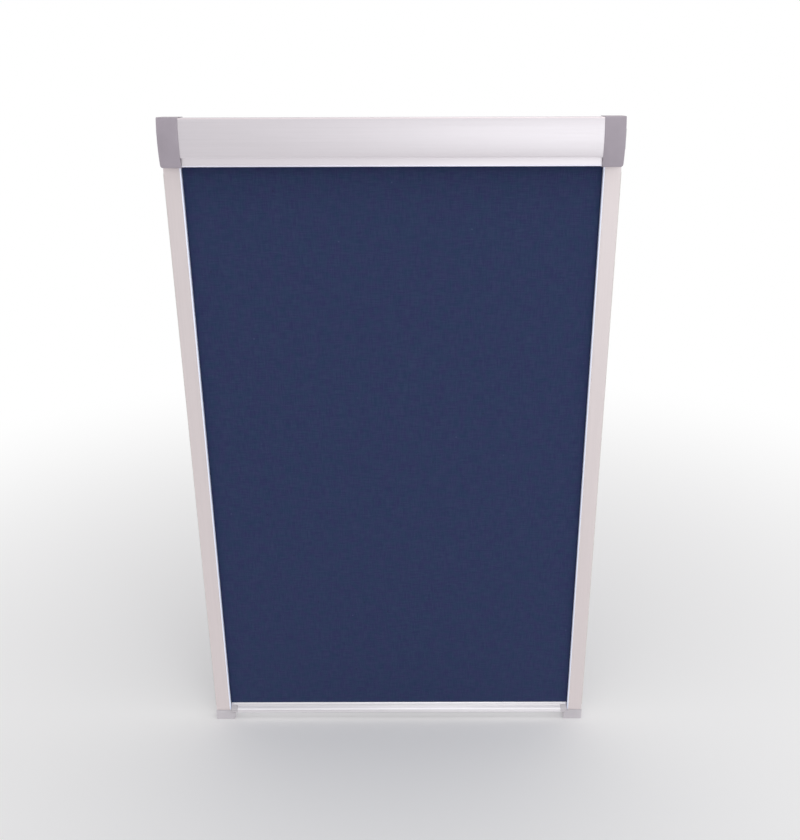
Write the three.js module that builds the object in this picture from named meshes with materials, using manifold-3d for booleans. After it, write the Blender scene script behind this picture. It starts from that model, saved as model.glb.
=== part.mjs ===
// A blackout roller blind for a roof window, shown fully lowered.
// A spring roller turns in an aluminium cassette between two grey end caps. The fabric leaves the roller at
// the back, runs down with both edges inside aluminium side rails, and ends in a bottom bar with a finger
// ledge. The bar rides on plastic glides whose felt pads rub on the rails, so it stays where it is put.
//
// Millimetres, +Z up along the blind, +X to the right as seen from the room, -Y towards the room.
// The origin is the centre of the cassette's back face. In the outlines below, "depth" is the distance from
// the back face towards the room, and "inset" is the distance from the sash towards the middle of the blind.
import * as THREE from 'three';
import { mergeVertices } from 'three/addons/utils/BufferGeometryUtils.js';
import Module from 'manifold-3d';

const wasm = await Module();
wasm.setup();

// Driving sizes of the whole blind
const blindWidth = 612; // between the two side faces of the window sash
const blindHeight = 956.8; // top of the cassette to the foot of the side rails
const fit = 0.3; // gap left between two neighbouring solids
const overrun = 1; // how far a cutting tool passes the face that it cuts
const edgeBreak = 0.3; // small chamfer on turned ends
const halfWidth = blindWidth / 2;
const roundSteps = 32; // sides of a turned piece
const filletSteps = 3; // chords in a rounded corner

// Fabric and roller
const fabricThickness = 0.33;
const fabricDepth = 7.5; // depth of the hanging fabric's middle
const fabricTuck = 9; // how far each edge of the fabric runs inside its side rail
const restWraps = 2; // wraps left on the roller with the blind lowered
const tubeRadius = 10;
const tubeWall = 1;
const rollRadius = tubeRadius + restWraps * fabricThickness;
const rollerDepth = fabricDepth - fabricThickness / 2 + rollRadius;

// Cassette
const cassetteHeight = 63.4;
const cassetteDepth = 35.2; // back face to the furthest point of the end caps' curved front
const frontRadius = 120; // radius of the end caps' curved front
const frontCentreHeight = -1; // height of the front's furthest point
const frontCentreDepth = cassetteDepth - frontRadius;
const capInset = 2.5; // sash face to the outer face of an end cap
const capCover = 27.5; // width of the band that an end cap shows from the room
const capSkin = 0.7;
const capPlate = 2.5; // thickness of an end cap's side plate
const capTopCorner = 1.6;
const capBottomCorner = 1.6;
const capOuterX = halfWidth - capInset;
const capInnerX = capOuterX - capCover;
const capPlateX = capOuterX - capPlate;
const cassetteTop = cassetteHeight / 2;
const profileEndX = capPlateX - fit; // where the two extruded profiles end
const profileTop = cassetteTop - capSkin - fit;
const rollerHeight = 5.2; // middle of the room inside the cassette

// Fascia, the curved front profile
const fasciaWall = 1.3;
const fasciaRadius = frontRadius - capSkin - fit;
const skirtHeight = 11.7; // flat strip under the curved face
const skirtDepth = 29.5; // depth of the skirt's front face
const beadRadius = 1.1; // thickened lower edge of the skirt
const fabricSlotDepth = 11.5; // depth at which the fascia's bottom wall stops
const hookDepth = 8.7;
const hookDrop = 1.9;
const lipRise = 3;
const fasciaBottom = -profileTop + skirtHeight;

// Back profile
const backWall = 1.5;
const shelfDepth = hookDepth - fit;
const slotRibDepth = 3.6;

// Screws that hold the end caps, and the bosses that they go into
const screwRadius = 1;
const screwLength = 12;
const screwHeadRadius = 2.8;
const screwHeadThickness = 1.1;
const screwRecessWidth = 0.7;
const screwRecessReachShare = 0.72; // reach of the cross recess, as a share of the head's radius
const screwRecessDepthShare = 0.6; // depth of the cross recess, as a share of the head's thickness
const bossWall = 1.5;
const bossSlot = 1.2;
const headSink = 0.4; // how far a screw head lies below the cap's outer face
const bossBore = screwRadius + fit;
const bossRadius = bossBore + bossWall;
const upperScrewHeight = 21;
const bossSink = 0.3; // how far a boss runs into the wall that carries it
const upperScrewDepth = backWall + bossRadius - bossSink;
const lowerScrewDepth = 22.4;
const lowerScrewHeight = fasciaBottom + fasciaWall + bossRadius - bossSink;

// Roller supports
const socketRadius = 6.5;
const socketLength = 2.9;
const arborRadius = 4;
const arborLength = 148;
const arborSquare = 5;
const arborKeyDepth = 1.2; // how far the arbor's square end enters the side plate
const plugFlange = 2.2;
const plugFlangeRadius = 10.4;
const plugBody = 15;
const drivePlugLength = 10;
const springWire = 0.7; // radius of the torsion spring's wire
const springPlay = 0.5; // gap between the torsion spring and its arbor
const springCurls = 24;
const pinRadius = 2.5;
const pinCollarRadius = 5.1;
const pinCollarLength = 2.7;
const pinTipReach = 0.2; // how far the pin's tip enters the side plate
const rollerPlay = 0.5; // running gap between the roller's ends and its supports
const idlerPlugLength = 27.3;
const idlerFrontWall = 5.3;
const idlerBackWall = 3;
const ventRadius = 1;
const pinSpringWire = 0.5;
const pinSpringRadius = 3.9;
const pinSpringCurls = 7;
const bushWall = 1.2;
const bushFlange = 0.8;
const bushFlangeRadius = 5.4;
const curlSteps = 8;
const wireSides = 5;

// Mounting brackets
const bracketThickness = capInset - fit;
const bracketHeight = 26;
const bracketWidth = 20;
const bracketDepth = 6; // back face to the bracket's rear edge
const bracketBottom = -10;
const bracketTab = 1.5; // how far the tabs reach into the side plate
const bracketTabWidth = 12;
const bracketTabThickness = 1.2;
const bracketHoleRadius = 2.2;
const bracketHoleSpacing = 12;
const bracketCorner = 2;

// Side rails
const tapeThickness = 0.7;
const tapeWidth = 10;
const tapeEndMargin = 8;
const railInset = tapeThickness + fit; // sash face to the rail's outer face
const railWidth = 24;
const railDepth = 15;
const railWall = 1.4;
const railSlot = 5.6; // width of the slot that the fabric and glides pass
const railCorner = 0.9;
const railInnerInset = railInset + railWidth;
const slotBack = fabricDepth - railSlot / 2;
const slotFront = fabricDepth + railSlot / 2;
const railTop = -cassetteTop - fit;
const brushBase = 1;
const brushBaseWidth = 4.7;
const pileWidth = 3.2;
const brushRibHeight = 2;
const brushRibWidth = 1;

// Foot caps
const footHeight = 17.5;
const footProud = 0.8; // how far a foot cap stands out past its rail's front
const footSide = 0.4; // how far a foot cap stands out past its rail's side
const footCorner = 1.2;
const stopWidth = 5; // tab that the bar comes to rest on
const stopHeight = 13.4;
const stopBackDepth = 4.2;
const tongueThickness = 1.4;
const tongueLength = 12;
const tongueStartInset = 4;
const tongueEndInset = 16;
const blindBottom = cassetteTop - blindHeight;
const railBottom = blindBottom + footHeight + fit;

// Bottom bar
const barHeight = 13.8;
const barPlate = 5; // thickness of the bar's upper part
const ledgeReach = 7; // how far the finger ledge stands out from it
const ledgeDrop = 5.6; // top of the bar to the ledge
const ledgeSlope = 0.9;
const barWall = 1.3;
const barCorner = 1;
const barHeadLength = 11.9; // width of the grey head of a glide
const barHeadDrop = 3.8; // top of the bar to the head
const barEndGap = 0.4; // running gap between the bar and the rails' lips
const splineRadius = 1;
const splineMargin = 6; // from an end of the spline to the end of the bar
const splinePocket = splineRadius + fit;
const splineDrop = 2.2; // top of the bar to the centre of the spline
const splineSlot = fabricThickness + 2 * fit;
const glideTongue = 20;
const barBack = fabricDepth - barPlate / 2;
const barFront = barBack + barPlate;
const ledgeFront = barFront + ledgeReach;
const barEndX = halfWidth - railInnerInset - barEndGap;
const barHeadX = barEndX - barHeadLength;
const barBottom = blindBottom + stopHeight + fit;
const barTop = barBottom + barHeight;

// Glides and brakes
const neckThickness = 2.7;
const neckHeight = 5;
const shoeHeight = 19;
const shoeRise = 10.3; // top of the bar to the top of the shoe
const shoeBackDepth = 3.6;
const shoePlay = 0.5; // running gap between the shoe and the rail's front wall
const shoeInset = railInset + railWall + fit;
const shoeFabricGap = 1;
const padThickness = 1.5;
const padHeight = 13.4;
const padWidth = 6.7;
const pocketDepth = 3;
const leafThickness = 0.4;
const leafWidth = 5;
const leafLength = 12;
const leafSteps = 8;

// Finishes
const silver = new THREE.MeshStandardMaterial({ color: 0xd9d3d2, roughness: 0.42, metalness: 0.85 });
const greyPlastic = new THREE.MeshStandardMaterial({ color: 0xa49ba3, roughness: 0.55, metalness: 0 });
const navyFabric = new THREE.MeshStandardMaterial({ color: 0x303958, roughness: 0.9, metalness: 0 });
const zincSteel = new THREE.MeshStandardMaterial({ color: 0xb9bbbd, roughness: 0.35, metalness: 1 });
const springSteel = new THREE.MeshStandardMaterial({ color: 0x8b8d90, roughness: 0.3, metalness: 1 });
const whitePlastic = new THREE.MeshStandardMaterial({ color: 0xe8e6e1, roughness: 0.5, metalness: 0 });
const darkFelt = new THREE.MeshStandardMaterial({ color: 0x3a3a3d, roughness: 1, metalness: 0 });
const greyPile = new THREE.MeshStandardMaterial({ color: 0x84868b, roughness: 1, metalness: 0 });
const tapeFoam = new THREE.MeshStandardMaterial({ color: 0xe9e8e4, roughness: 0.95, metalness: 0 });

// Solids and geometries
function solidOf(geometry) {
  const bare = geometry.index ? geometry.toNonIndexed() : geometry.clone();
  bare.deleteAttribute('normal');
  bare.deleteAttribute('uv');
  const merged = mergeVertices(bare, 1e-4);
  const corners = merged.index.array;
  const kept = [];
  for (let i = 0; i < corners.length; i += 3) {
    const [a, b, c] = [corners[i], corners[i + 1], corners[i + 2]];
    if (a !== b && b !== c && c !== a) kept.push(a, b, c);
  }
  return new wasm.Manifold(new wasm.Mesh({
    numProp: 3,
    vertProperties: new Float32Array(merged.attributes.position.array),
    triVerts: new Uint32Array(kept),
  }));
}

function geometryOf(solid) {
  const found = solid.getMesh();
  const places = new Float32Array(found.numVert * 3);
  for (let i = 0; i < found.numVert; i++) {
    const start = i * found.numProp;
    places.set(found.vertProperties.subarray(start, start + 3), i * 3);
  }
  const geometry = new THREE.BufferGeometry();
  geometry.setAttribute('position', new THREE.BufferAttribute(places, 3));
  geometry.setIndex(new THREE.BufferAttribute(new Uint32Array(found.triVerts), 1));
  return geometry.toNonIndexed();
}

function join(...geometries) {
  return geometryOf(geometries.map(solidOf).reduce((whole, next) => whole.add(next)));
}

function cut(geometry, ...tools) {
  return geometryOf(tools.map(solidOf).reduce((whole, tool) => whole.subtract(tool), solidOf(geometry)));
}

// Outlines: lists of [a, b] points, closed from the last to the first
function rectangle(a0, a1, b0, b1) {
  return [[a0, b0], [a1, b0], [a1, b1], [a0, b1]];
}

function circle(a, b, radius, steps = roundSteps) {
  return Array.from({ length: steps }, (_, i) => {
    const angle = (2 * Math.PI * i) / steps;
    return [a + radius * Math.cos(angle), b + radius * Math.sin(angle)];
  });
}

// Rounds the corner at point i of an outline, with a radius no longer than its sides allow.
function fillet(outline, i, radius) {
  const here = new THREE.Vector2(...outline[i]);
  const before = new THREE.Vector2(...outline[(i + outline.length - 1) % outline.length]).sub(here);
  const after = new THREE.Vector2(...outline[(i + 1) % outline.length]).sub(here);
  const half = before.angleTo(after) / 2;
  const room = Math.min(before.length(), after.length()) / 2;
  const reach = Math.min(radius / Math.tan(half), room);
  const start = here.clone().add(before.clone().setLength(reach));
  const end = here.clone().add(after.clone().setLength(reach));
  const bend = new THREE.QuadraticBezierCurve(start, here, end);
  const points = bend.getPoints(filletSteps).map((p) => [p.x, p.y]);
  return [...outline.slice(0, i), ...points, ...outline.slice(i + 1)];
}

// Depth of a front curve of the given radius, at a height.
function frontDepth(radius, height) {
  return frontCentreDepth + Math.sqrt(radius * radius - (height - frontCentreHeight) ** 2);
}

// Points down a front curve, from one height to another.
function frontCurve(radius, fromHeight, toHeight, steps = 14) {
  return Array.from({ length: steps + 1 }, (_, i) => {
    const height = fromHeight + ((toHeight - fromHeight) * i) / steps;
    return [frontDepth(radius, height), height];
  });
}

// Extrudes an outline of [depth, height] points from one X to another.
function alongX(outline, fromX, toX) {
  const points = outline.map(([depth, height]) => new THREE.Vector2(-depth, height));
  const shape = new THREE.Shape(points);
  const geometry = new THREE.ExtrudeGeometry(shape, { depth: toX - fromX, bevelEnabled: false });
  const turn = new THREE.Matrix4().makeBasis(
    new THREE.Vector3(0, 1, 0), new THREE.Vector3(0, 0, 1), new THREE.Vector3(1, 0, 0));
  return geometry.applyMatrix4(turn).translate(fromX, 0, 0);
}

// Extrudes an outline of [inset, depth] points of the right-hand side from one height to another.
function alongZ(outline, fromZ, toZ) {
  const points = outline.map(([inset, depth]) => new THREE.Vector2(halfWidth - inset, -depth));
  const shape = new THREE.Shape(points);
  const geometry = new THREE.ExtrudeGeometry(shape, { depth: toZ - fromZ, bevelEnabled: false });
  return geometry.translate(0, 0, fromZ);
}

// A block between two X, two depths and two heights.
function block(x0, x1, depth0, depth1, height0, height1) {
  return alongX(rectangle(depth0, depth1, height0, height1), x0, x1);
}

// Turns a closed outline of [x, radius] points about the X axis.
function turned(outline, steps = roundSteps) {
  const area = THREE.ShapeUtils.area(outline.map(([x, radius]) => new THREE.Vector2(radius, x)));
  const ordered = area < 0 ? [...outline].reverse() : outline;
  const profile = [...ordered, ordered[0]].map(([x, radius]) => new THREE.Vector2(radius, x));
  const lathe = new THREE.LatheGeometry(profile, steps);
  return geometryOf(solidOf(lathe.rotateZ(-Math.PI / 2)));
}

// A rod or ring along X: outer and inner radius, between two X.
function ring(x0, x1, outer, inner = 0) {
  return turned([[x0, inner], [x0, outer], [x1, outer], [x1, inner]]);
}

// A helical wire about the X axis, closed at both ends. Prints the least gap between its curls.
function helix(name, x0, x1, radius, wire, curls) {
  const steps = curls * curlSteps;
  const rise = x1 - x0 - 2 * wire;
  const places = [];
  const route = [];
  for (let i = 0; i <= steps; i++) {
    const turn = (2 * Math.PI * i) / curlSteps;
    const middle = x0 + wire + (rise * i) / steps;
    route.push(new THREE.Vector3(middle, radius * Math.cos(turn), radius * Math.sin(turn)));
    for (let side = 0; side < wireSides; side++) {
      const angle = (2 * Math.PI * side) / wireSides;
      const r = radius + wire * Math.cos(angle);
      places.push(middle + wire * Math.sin(angle), r * Math.cos(turn), r * Math.sin(turn));
    }
  }
  const faces = [];
  for (let i = 0; i < steps; i++) {
    for (let side = 0; side < wireSides; side++) {
      const next = (side + 1) % wireSides;
      const [a, b] = [i * wireSides + side, i * wireSides + next];
      const [c, d] = [a + wireSides, b + wireSides];
      faces.push(a, c, b, b, c, d);
    }
  }
  const last = steps * wireSides;
  for (let side = 1; side < wireSides - 1; side++) {
    faces.push(0, side, side + 1);
    faces.push(last, last + side + 1, last + side);
  }
  const spans = route.flatMap((a, i) => route.slice(i + curlSteps / 2).map((b) => a.distanceTo(b)));
  console.log(`${name}: least gap between curls ${(Math.min(...spans) - 2 * wire).toFixed(2)} mm`);
  const geometry = new THREE.BufferGeometry();
  geometry.setAttribute('position', new THREE.Float32BufferAttribute(places, 3));
  geometry.setIndex(faces);
  return geometry.toNonIndexed();
}

const blind = new THREE.Group();
blind.name = 'skylight_blind';

function add(name, geometry, material, group = blind) {
  const mesh = new THREE.Mesh(geometry, material);
  mesh.name = name;
  group.add(mesh);
  return mesh;
}

// Pieces that come in pairs are modelled on the right and mirrored to the left.
const leftSide = new THREE.Group();
leftSide.scale.x = -1;
blind.add(leftSide);

function addPair(name, geometry, material) {
  add(`${name}_right`, geometry, material);
  add(`${name}_left`, geometry.clone(), material, leftSide);
}

// Fascia: curved face, top wall with its snap hook, bottom wall, skirt and a boss for the lower screws.
function fascia() {
  const inner = fasciaRadius - fasciaWall;
  const face = [
    ...frontCurve(fasciaRadius, profileTop, fasciaBottom),
    ...frontCurve(inner, fasciaBottom, profileTop),
  ];
  const hookTop = profileTop - fasciaWall;
  const faceTopDepth = frontDepth(inner, profileTop);
  const top = rectangle(backWall + fit, faceTopDepth + fasciaWall / 2, hookTop, profileTop);
  const hook = rectangle(hookDepth, hookDepth + fasciaWall, hookTop - hookDrop, profileTop);
  const faceBottomDepth = frontDepth(inner, fasciaBottom);
  const floorTop = fasciaBottom + fasciaWall;
  const floor = rectangle(fabricSlotDepth, faceBottomDepth + fasciaWall / 2, fasciaBottom, floorTop);
  const lip = rectangle(fabricSlotDepth, fabricSlotDepth + fasciaWall, fasciaBottom, fasciaBottom + lipRise);
  const skirt = rectangle(skirtDepth - fasciaWall, skirtDepth, -profileTop, floorTop);
  const bead = circle(skirtDepth - fasciaWall / 2, -profileTop + beadRadius, beadRadius, 12);
  const boss = circle(lowerScrewDepth, lowerScrewHeight, bossRadius, 20);
  const slot = rectangle(lowerScrewDepth - bossSlot / 2, lowerScrewDepth + bossSlot / 2,
    lowerScrewHeight, lowerScrewHeight + bossRadius + overrun);
  const outlines = [face, top, hook, floor, lip, skirt, bead, boss];
  const walls = outlines.map((o) => alongX(o, -profileEndX, profileEndX));
  const bore = circle(lowerScrewDepth, lowerScrewHeight, bossBore, 16);
  const tools = [bore, slot].map((o) => alongX(o, -profileEndX - overrun, profileEndX + overrun));
  return cut(join(...walls), ...tools);
}

// Back profile: mounting plate, shelf that the fascia hooks over, slot rib and a boss for the upper screws.
function backProfile() {
  const shelfTop = profileTop - fasciaWall - fit;
  const plate = rectangle(0, backWall, -profileTop, profileTop);
  const shelf = rectangle(backWall / 2, shelfDepth, shelfTop - fasciaWall, shelfTop);
  const rib = rectangle(backWall / 2, slotRibDepth, fasciaBottom, fasciaBottom + fasciaWall);
  const boss = circle(upperScrewDepth, upperScrewHeight, bossRadius, 20);
  const slot = rectangle(upperScrewDepth, upperScrewDepth + bossRadius + overrun,
    upperScrewHeight - bossSlot / 2, upperScrewHeight + bossSlot / 2);
  const bore = circle(upperScrewDepth, upperScrewHeight, bossBore, 16);
  const walls = [plate, shelf, rib, boss].map((o) => alongX(o, -profileEndX, profileEndX));
  const tools = [bore, slot].map((o) => alongX(o, -profileEndX - overrun, profileEndX + overrun));
  return cut(join(...walls), ...tools);
}

// The curved outline of an end cap, with its rounded bottom corner.
function capOutline() {
  const curve = frontCurve(frontRadius, cassetteTop, -cassetteTop);
  const outline = [[0, -cassetteTop], [0, cassetteTop], ...curve];
  const rounded = fillet(outline, outline.length - 1, capBottomCorner);
  return fillet(rounded, 2, capTopCorner);
}

// End cap of the right-hand side: a cup over the profiles' ends, with the roller's socket on its plate.
function endCap(socketTool) {
  const shell = alongX(capOutline(), capInnerX, capOuterX);
  const roomTop = profileTop + fit;
  const roomCurve = frontCurve(fasciaRadius + fit, roomTop, -roomTop);
  const room = [[-overrun, -roomTop], [-overrun, roomTop], ...roomCurve];
  const skirtRoomDepth = skirtDepth - fasciaWall / 2 + beadRadius + fit;
  const skirtRoom = rectangle(fabricDepth, skirtRoomDepth, -roomTop, fasciaBottom + fasciaWall);
  const slot = block(capInnerX - overrun, halfWidth - shoeInset - shoeFabricGap,
    slotBack - fit, slotFront + fit, -cassetteTop - overrun, fasciaBottom);
  const hollow = [room, skirtRoom].map((o) => alongX(o, capInnerX - overrun, capPlateX));
  const cup = cut(shell, ...hollow, slot);
  const socket = ring(capPlateX - socketLength, capOuterX - capPlate / 2, socketRadius)
    .translate(0, -rollerDepth, rollerHeight);
  const tongue = block(halfWidth - tongueEndInset, halfWidth - tongueStartInset,
    railWall + fit, railWall + fit + tongueThickness, railTop - tongueLength, -cassetteTop + capSkin / 2);
  const holes = screwPlaces.flatMap(([depth, height]) => [
    ring(capPlateX - overrun, capOuterX + overrun, screwRadius + 2 * fit),
    ring(capOuterX - screwHeadThickness - headSink - fit, capOuterX + overrun, screwHeadRadius + fit),
  ].map((tool) => tool.translate(0, -depth, height)));
  const tabs = bracketTabs(fit, overrun);
  const seat = socketTool.translate(0, -rollerDepth, rollerHeight);
  return cut(join(cup, socket, tongue), seat, ...holes, ...tabs);
}

const screwPlaces = [
  [upperScrewDepth, upperScrewHeight],
  [lowerScrewDepth, lowerScrewHeight],
];

// The two tabs of a bracket, grown on every side by a gap when they are used to cut the end cap.
function bracketTabs(gap, past) {
  const middle = bracketDepth + bracketWidth / 2;
  const bottoms = [bracketBottom, bracketBottom + bracketHeight - bracketTabThickness];
  return bottoms.map((bottom) => block(capOuterX - bracketTab - gap, capOuterX + fit + past,
    middle - bracketTabWidth / 2 - gap, middle + bracketTabWidth / 2 + gap,
    bottom - gap, bottom + bracketTabThickness + gap));
}

function bracket() {
  const bracketTop = bracketBottom + bracketHeight;
  let outline = rectangle(bracketDepth, bracketDepth + bracketWidth, bracketBottom, bracketTop);
  for (const corner of [3, 2, 1, 0]) outline = fillet(outline, corner, bracketCorner);
  const plate = alongX(outline, capOuterX + fit, capOuterX + fit + bracketThickness);
  const middle = bracketBottom + bracketHeight / 2;
  const holes = [-1, 1].map((way) => alongX(
    circle(bracketDepth + bracketWidth / 2, middle + (way * bracketHoleSpacing) / 2, bracketHoleRadius, 20),
    capOuterX, halfWidth + overrun));
  return cut(join(plate, ...bracketTabs(0, fit)), ...holes);
}

// A pan-head screw along X with its head's face at x = 0 and a cross recess.
function screw() {
  const shank = ring(-screwHeadThickness - screwLength, -screwHeadThickness / 2, screwRadius);
  const head = turned([[0, 0], [0, screwHeadRadius - edgeBreak], [-edgeBreak, screwHeadRadius],
    [-screwHeadThickness, screwHeadRadius], [-screwHeadThickness, 0]]);
  const reach = screwHeadRadius * screwRecessReachShare;
  const floor = -screwHeadThickness * screwRecessDepthShare;
  const half = screwRecessWidth / 2;
  const flat = block(floor, overrun, -reach, reach, -half, half);
  const upright = block(floor, overrun, -half, half, -reach, reach);
  return cut(join(shank, head), flat, upright);
}

// Cassette
add('cassette_fascia', fascia(), silver);
add('cassette_back', backProfile(), silver);

const bushBore = pinRadius + fit;
const bushOuter = bushBore + bushWall;
const socketEndX = capPlateX - socketLength;
const keyHalf = arborSquare / 2 + fit;
const keyEndX = capPlateX + arborKeyDepth + fit;
const bushEndX = capPlateX + pinTipReach + fit;
const bushFlangeX = socketEndX - fit - bushFlange;
const rollerEndX = bushFlangeX - rollerPlay; // outer face of the plugs' flanges
const tubeEndX = rollerEndX - plugFlange - fit;
add('end_cap_right', endCap(ring(socketEndX - overrun, bushEndX, bushOuter + fit)), greyPlastic);
add('end_cap_left', endCap(block(socketEndX - overrun, keyEndX, -keyHalf, keyHalf, -keyHalf, keyHalf)),
  greyPlastic, leftSide);

const headFaceX = capOuterX - headSink;
for (const [level, [depth, height]] of [['upper', screwPlaces[0]], ['lower', screwPlaces[1]]]) {
  for (const [side, group] of [['right', blind], ['left', leftSide]]) {
    const piece = add(`end_cap_screw_${side}_${level}`, screw(), zincSteel, group);
    piece.position.set(headFaceX, -depth, height);
  }
}
addPair('mounting_bracket', bracket(), zincSteel);

// Roller: everything here is placed about the roller's own axis.
const roller = new THREE.Group();
roller.position.set(0, -rollerDepth, rollerHeight);
blind.add(roller);

const tubeBore = tubeRadius - tubeWall;
const plugRadius = tubeBore - fit;
const fabricHalf = halfWidth - railInnerInset + fabricTuck;
add('roller_tube', ring(-tubeEndX, tubeEndX, tubeRadius, tubeBore), silver, roller);
add('fabric_roll', ring(-fabricHalf, fabricHalf, rollRadius, tubeRadius + fit / 2), navyFabric, roller);

// Spring end, on the left
const flangeStartX = plugFlange - rollerEndX;
const arborBore = arborRadius + fit;
const springPlugEndX = flangeStartX + plugBody;
add('spring_end_plug', turned([
  [-rollerEndX, arborBore], [-rollerEndX, plugFlangeRadius], [flangeStartX, plugFlangeRadius],
  [flangeStartX, plugRadius], [springPlugEndX, plugRadius], [springPlugEndX, arborBore],
]), whitePlastic, roller);

const arborStartX = -socketEndX + fit;
const arborEndX = arborStartX + arborLength;
const squareHalf = arborSquare / 2;
const arborKeyX = -capPlateX - arborKeyDepth;
add('spring_arbor', join(
  ring(arborStartX, arborEndX, arborRadius),
  block(arborKeyX, arborStartX + overrun, -squareHalf, squareHalf, -squareHalf, squareHalf),
), zincSteel, roller);

const drivePlugEndX = arborEndX - arborRadius;
const drivePlugX = drivePlugEndX - drivePlugLength;
add('spring_drive_plug', ring(drivePlugX, drivePlugEndX, plugRadius, arborBore), whitePlastic, roller);

const springStartX = springPlugEndX + fit;
const springEndX = drivePlugX - fit;
const springRadius = arborRadius + springPlay + springWire;
add('torsion_spring', helix('torsion spring', springStartX, springEndX, springRadius, springWire,
  springCurls), springSteel, roller);

// Idler end, on the right: a sprung pin that is pushed in to take the roller out
const idlerFlangeX = rollerEndX - plugFlange;
const idlerBackX = idlerFlangeX - idlerPlugLength;
const chamberX = idlerBackX + idlerBackWall;
const chamberEndX = idlerFlangeX - idlerFrontWall;
const chamberRadius = pinCollarRadius + fit;
add('idler_plug', turned([
  [idlerBackX, ventRadius], [idlerBackX, plugRadius], [idlerFlangeX, plugRadius],
  [idlerFlangeX, plugFlangeRadius], [rollerEndX, plugFlangeRadius], [rollerEndX, bushBore],
  [chamberEndX, bushBore], [chamberEndX, chamberRadius], [chamberX, chamberRadius], [chamberX, ventRadius],
]), whitePlastic, roller);

const collarEndX = chamberEndX - fit;
const collarX = collarEndX - pinCollarLength;
const pinTipX = capPlateX + pinTipReach;
add('idler_pin', turned([
  [collarX, 0], [collarX, pinCollarRadius], [collarEndX, pinCollarRadius], [collarEndX, pinRadius],
  [pinTipX - edgeBreak, pinRadius], [pinTipX, pinRadius - edgeBreak], [pinTipX, 0],
]), zincSteel, roller);
add('idler_pin_spring', helix('pin spring', chamberX + fit, collarX - fit, pinSpringRadius, pinSpringWire,
  pinSpringCurls), springSteel, roller);

add('idler_bush', turned([
  [bushFlangeX, bushBore], [bushFlangeX, bushFlangeRadius], [socketEndX - fit, bushFlangeRadius],
  [socketEndX - fit, bushOuter], [capPlateX, bushOuter], [capPlateX, bushBore],
]), whitePlastic, roller);

// Side rail: a channel that is open towards the middle of the blind, with ribs that hold its brush.
function sideRail() {
  const inner = railInnerInset - railWall;
  let front = rectangle(railInset, railInnerInset, slotFront, railDepth);
  front = fillet(fillet(front, 3, railCorner), 2, railCorner);
  const chamber = rectangle(railInset + railWall, inner, slotBack, railDepth - railWall);
  const back = rectangle(railInset, railInnerInset, 0, slotBack);
  const backRoom = rectangle(railInset + railWall, inner, railWall, slotBack + overrun);
  const side = rectangle(railInset, railInset + railWall, 0, railDepth - railCorner);
  const frontRoom = rectangle(railInset + railWall, inner, slotFront - overrun, railDepth - railWall);
  const ribInset = inner - fit - brushBaseWidth - fit;
  const ribBack = railDepth - railWall - brushRibHeight;
  const rib = rectangle(ribInset - brushRibWidth, ribInset, ribBack, railDepth - railWall / 2);
  const wall = (o) => alongZ(o, railBottom, railTop);
  const tool = (o) => alongZ(o, railBottom - overrun, railTop + overrun);
  const channel = cut(join(wall(front), wall(side)), tool(frontRoom), tool(chamber));
  return join(channel, cut(wall(back), tool(backRoom)), wall(rib));
}
addPair('side_rail', sideRail(), silver);

// Brush: a flat base behind the rail's front wall, and pile that reaches towards the fabric.
const brushInset = railInnerInset - railWall - fit - brushBaseWidth;
const brushMiddle = brushInset + brushBaseWidth / 2;
const brushFront = railDepth - railWall - fit;
const brushBack = brushFront - brushBase;
const pileTip = fabricDepth + fabricThickness / 2 + fit;
addPair('brush_strip', join(
  alongZ(rectangle(brushInset, brushInset + brushBaseWidth, brushBack, brushFront), railBottom, railTop),
  alongZ(rectangle(brushMiddle - pileWidth / 2, brushMiddle + pileWidth / 2,
    pileTip, brushBack + brushBase / 2), railBottom, railTop),
), greyPile);

// Double-sided tape that sticks a rail to the window sash
const tapeDepth = (railDepth - tapeWidth) / 2;
addPair('mounting_tape', alongZ(rectangle(0, tapeThickness, tapeDepth, tapeDepth + tapeWidth),
  railBottom + tapeEndMargin, railTop - tapeEndMargin), tapeFoam);

// Foot cap: closes a rail, with a tab that the bar comes to rest on and a tongue that enters the rail.
function footCap() {
  const footTop = blindBottom + footHeight;
  let outline = rectangle(railInset - footSide, railInnerInset, 0, railDepth + footProud);
  outline = fillet(outline, 3, footCorner);
  const body = alongZ(outline, blindBottom, footTop);
  const stop = alongZ(rectangle(railInnerInset - overrun, railInnerInset + stopWidth,
    stopBackDepth, railDepth + footProud), blindBottom, blindBottom + stopHeight);
  const tongue = alongZ(rectangle(tongueStartInset, tongueEndInset, railWall + fit,
    railWall + fit + tongueThickness), footTop - overrun, footTop + tongueLength);
  return join(body, stop, tongue);
}
addPair('foot_cap', footCap(), greyPlastic);

// Bottom bar: heights here are measured from the top of the bar.
const bar = new THREE.Group();
bar.position.z = barTop;
blind.add(bar);
const leftBar = new THREE.Group();
leftBar.scale.x = -1;
bar.add(leftBar);

function barOutline(top) {
  const upper = [[barBack, -barHeight], [barBack, top], [barFront, top]];
  const ledge = [[barFront, -ledgeDrop], [ledgeFront, -ledgeDrop - ledgeSlope], [ledgeFront, -barHeight]];
  const outline = [...upper, ...ledge];
  return fillet(fillet(outline, 5, barCorner), 4, barCorner);
}

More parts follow.
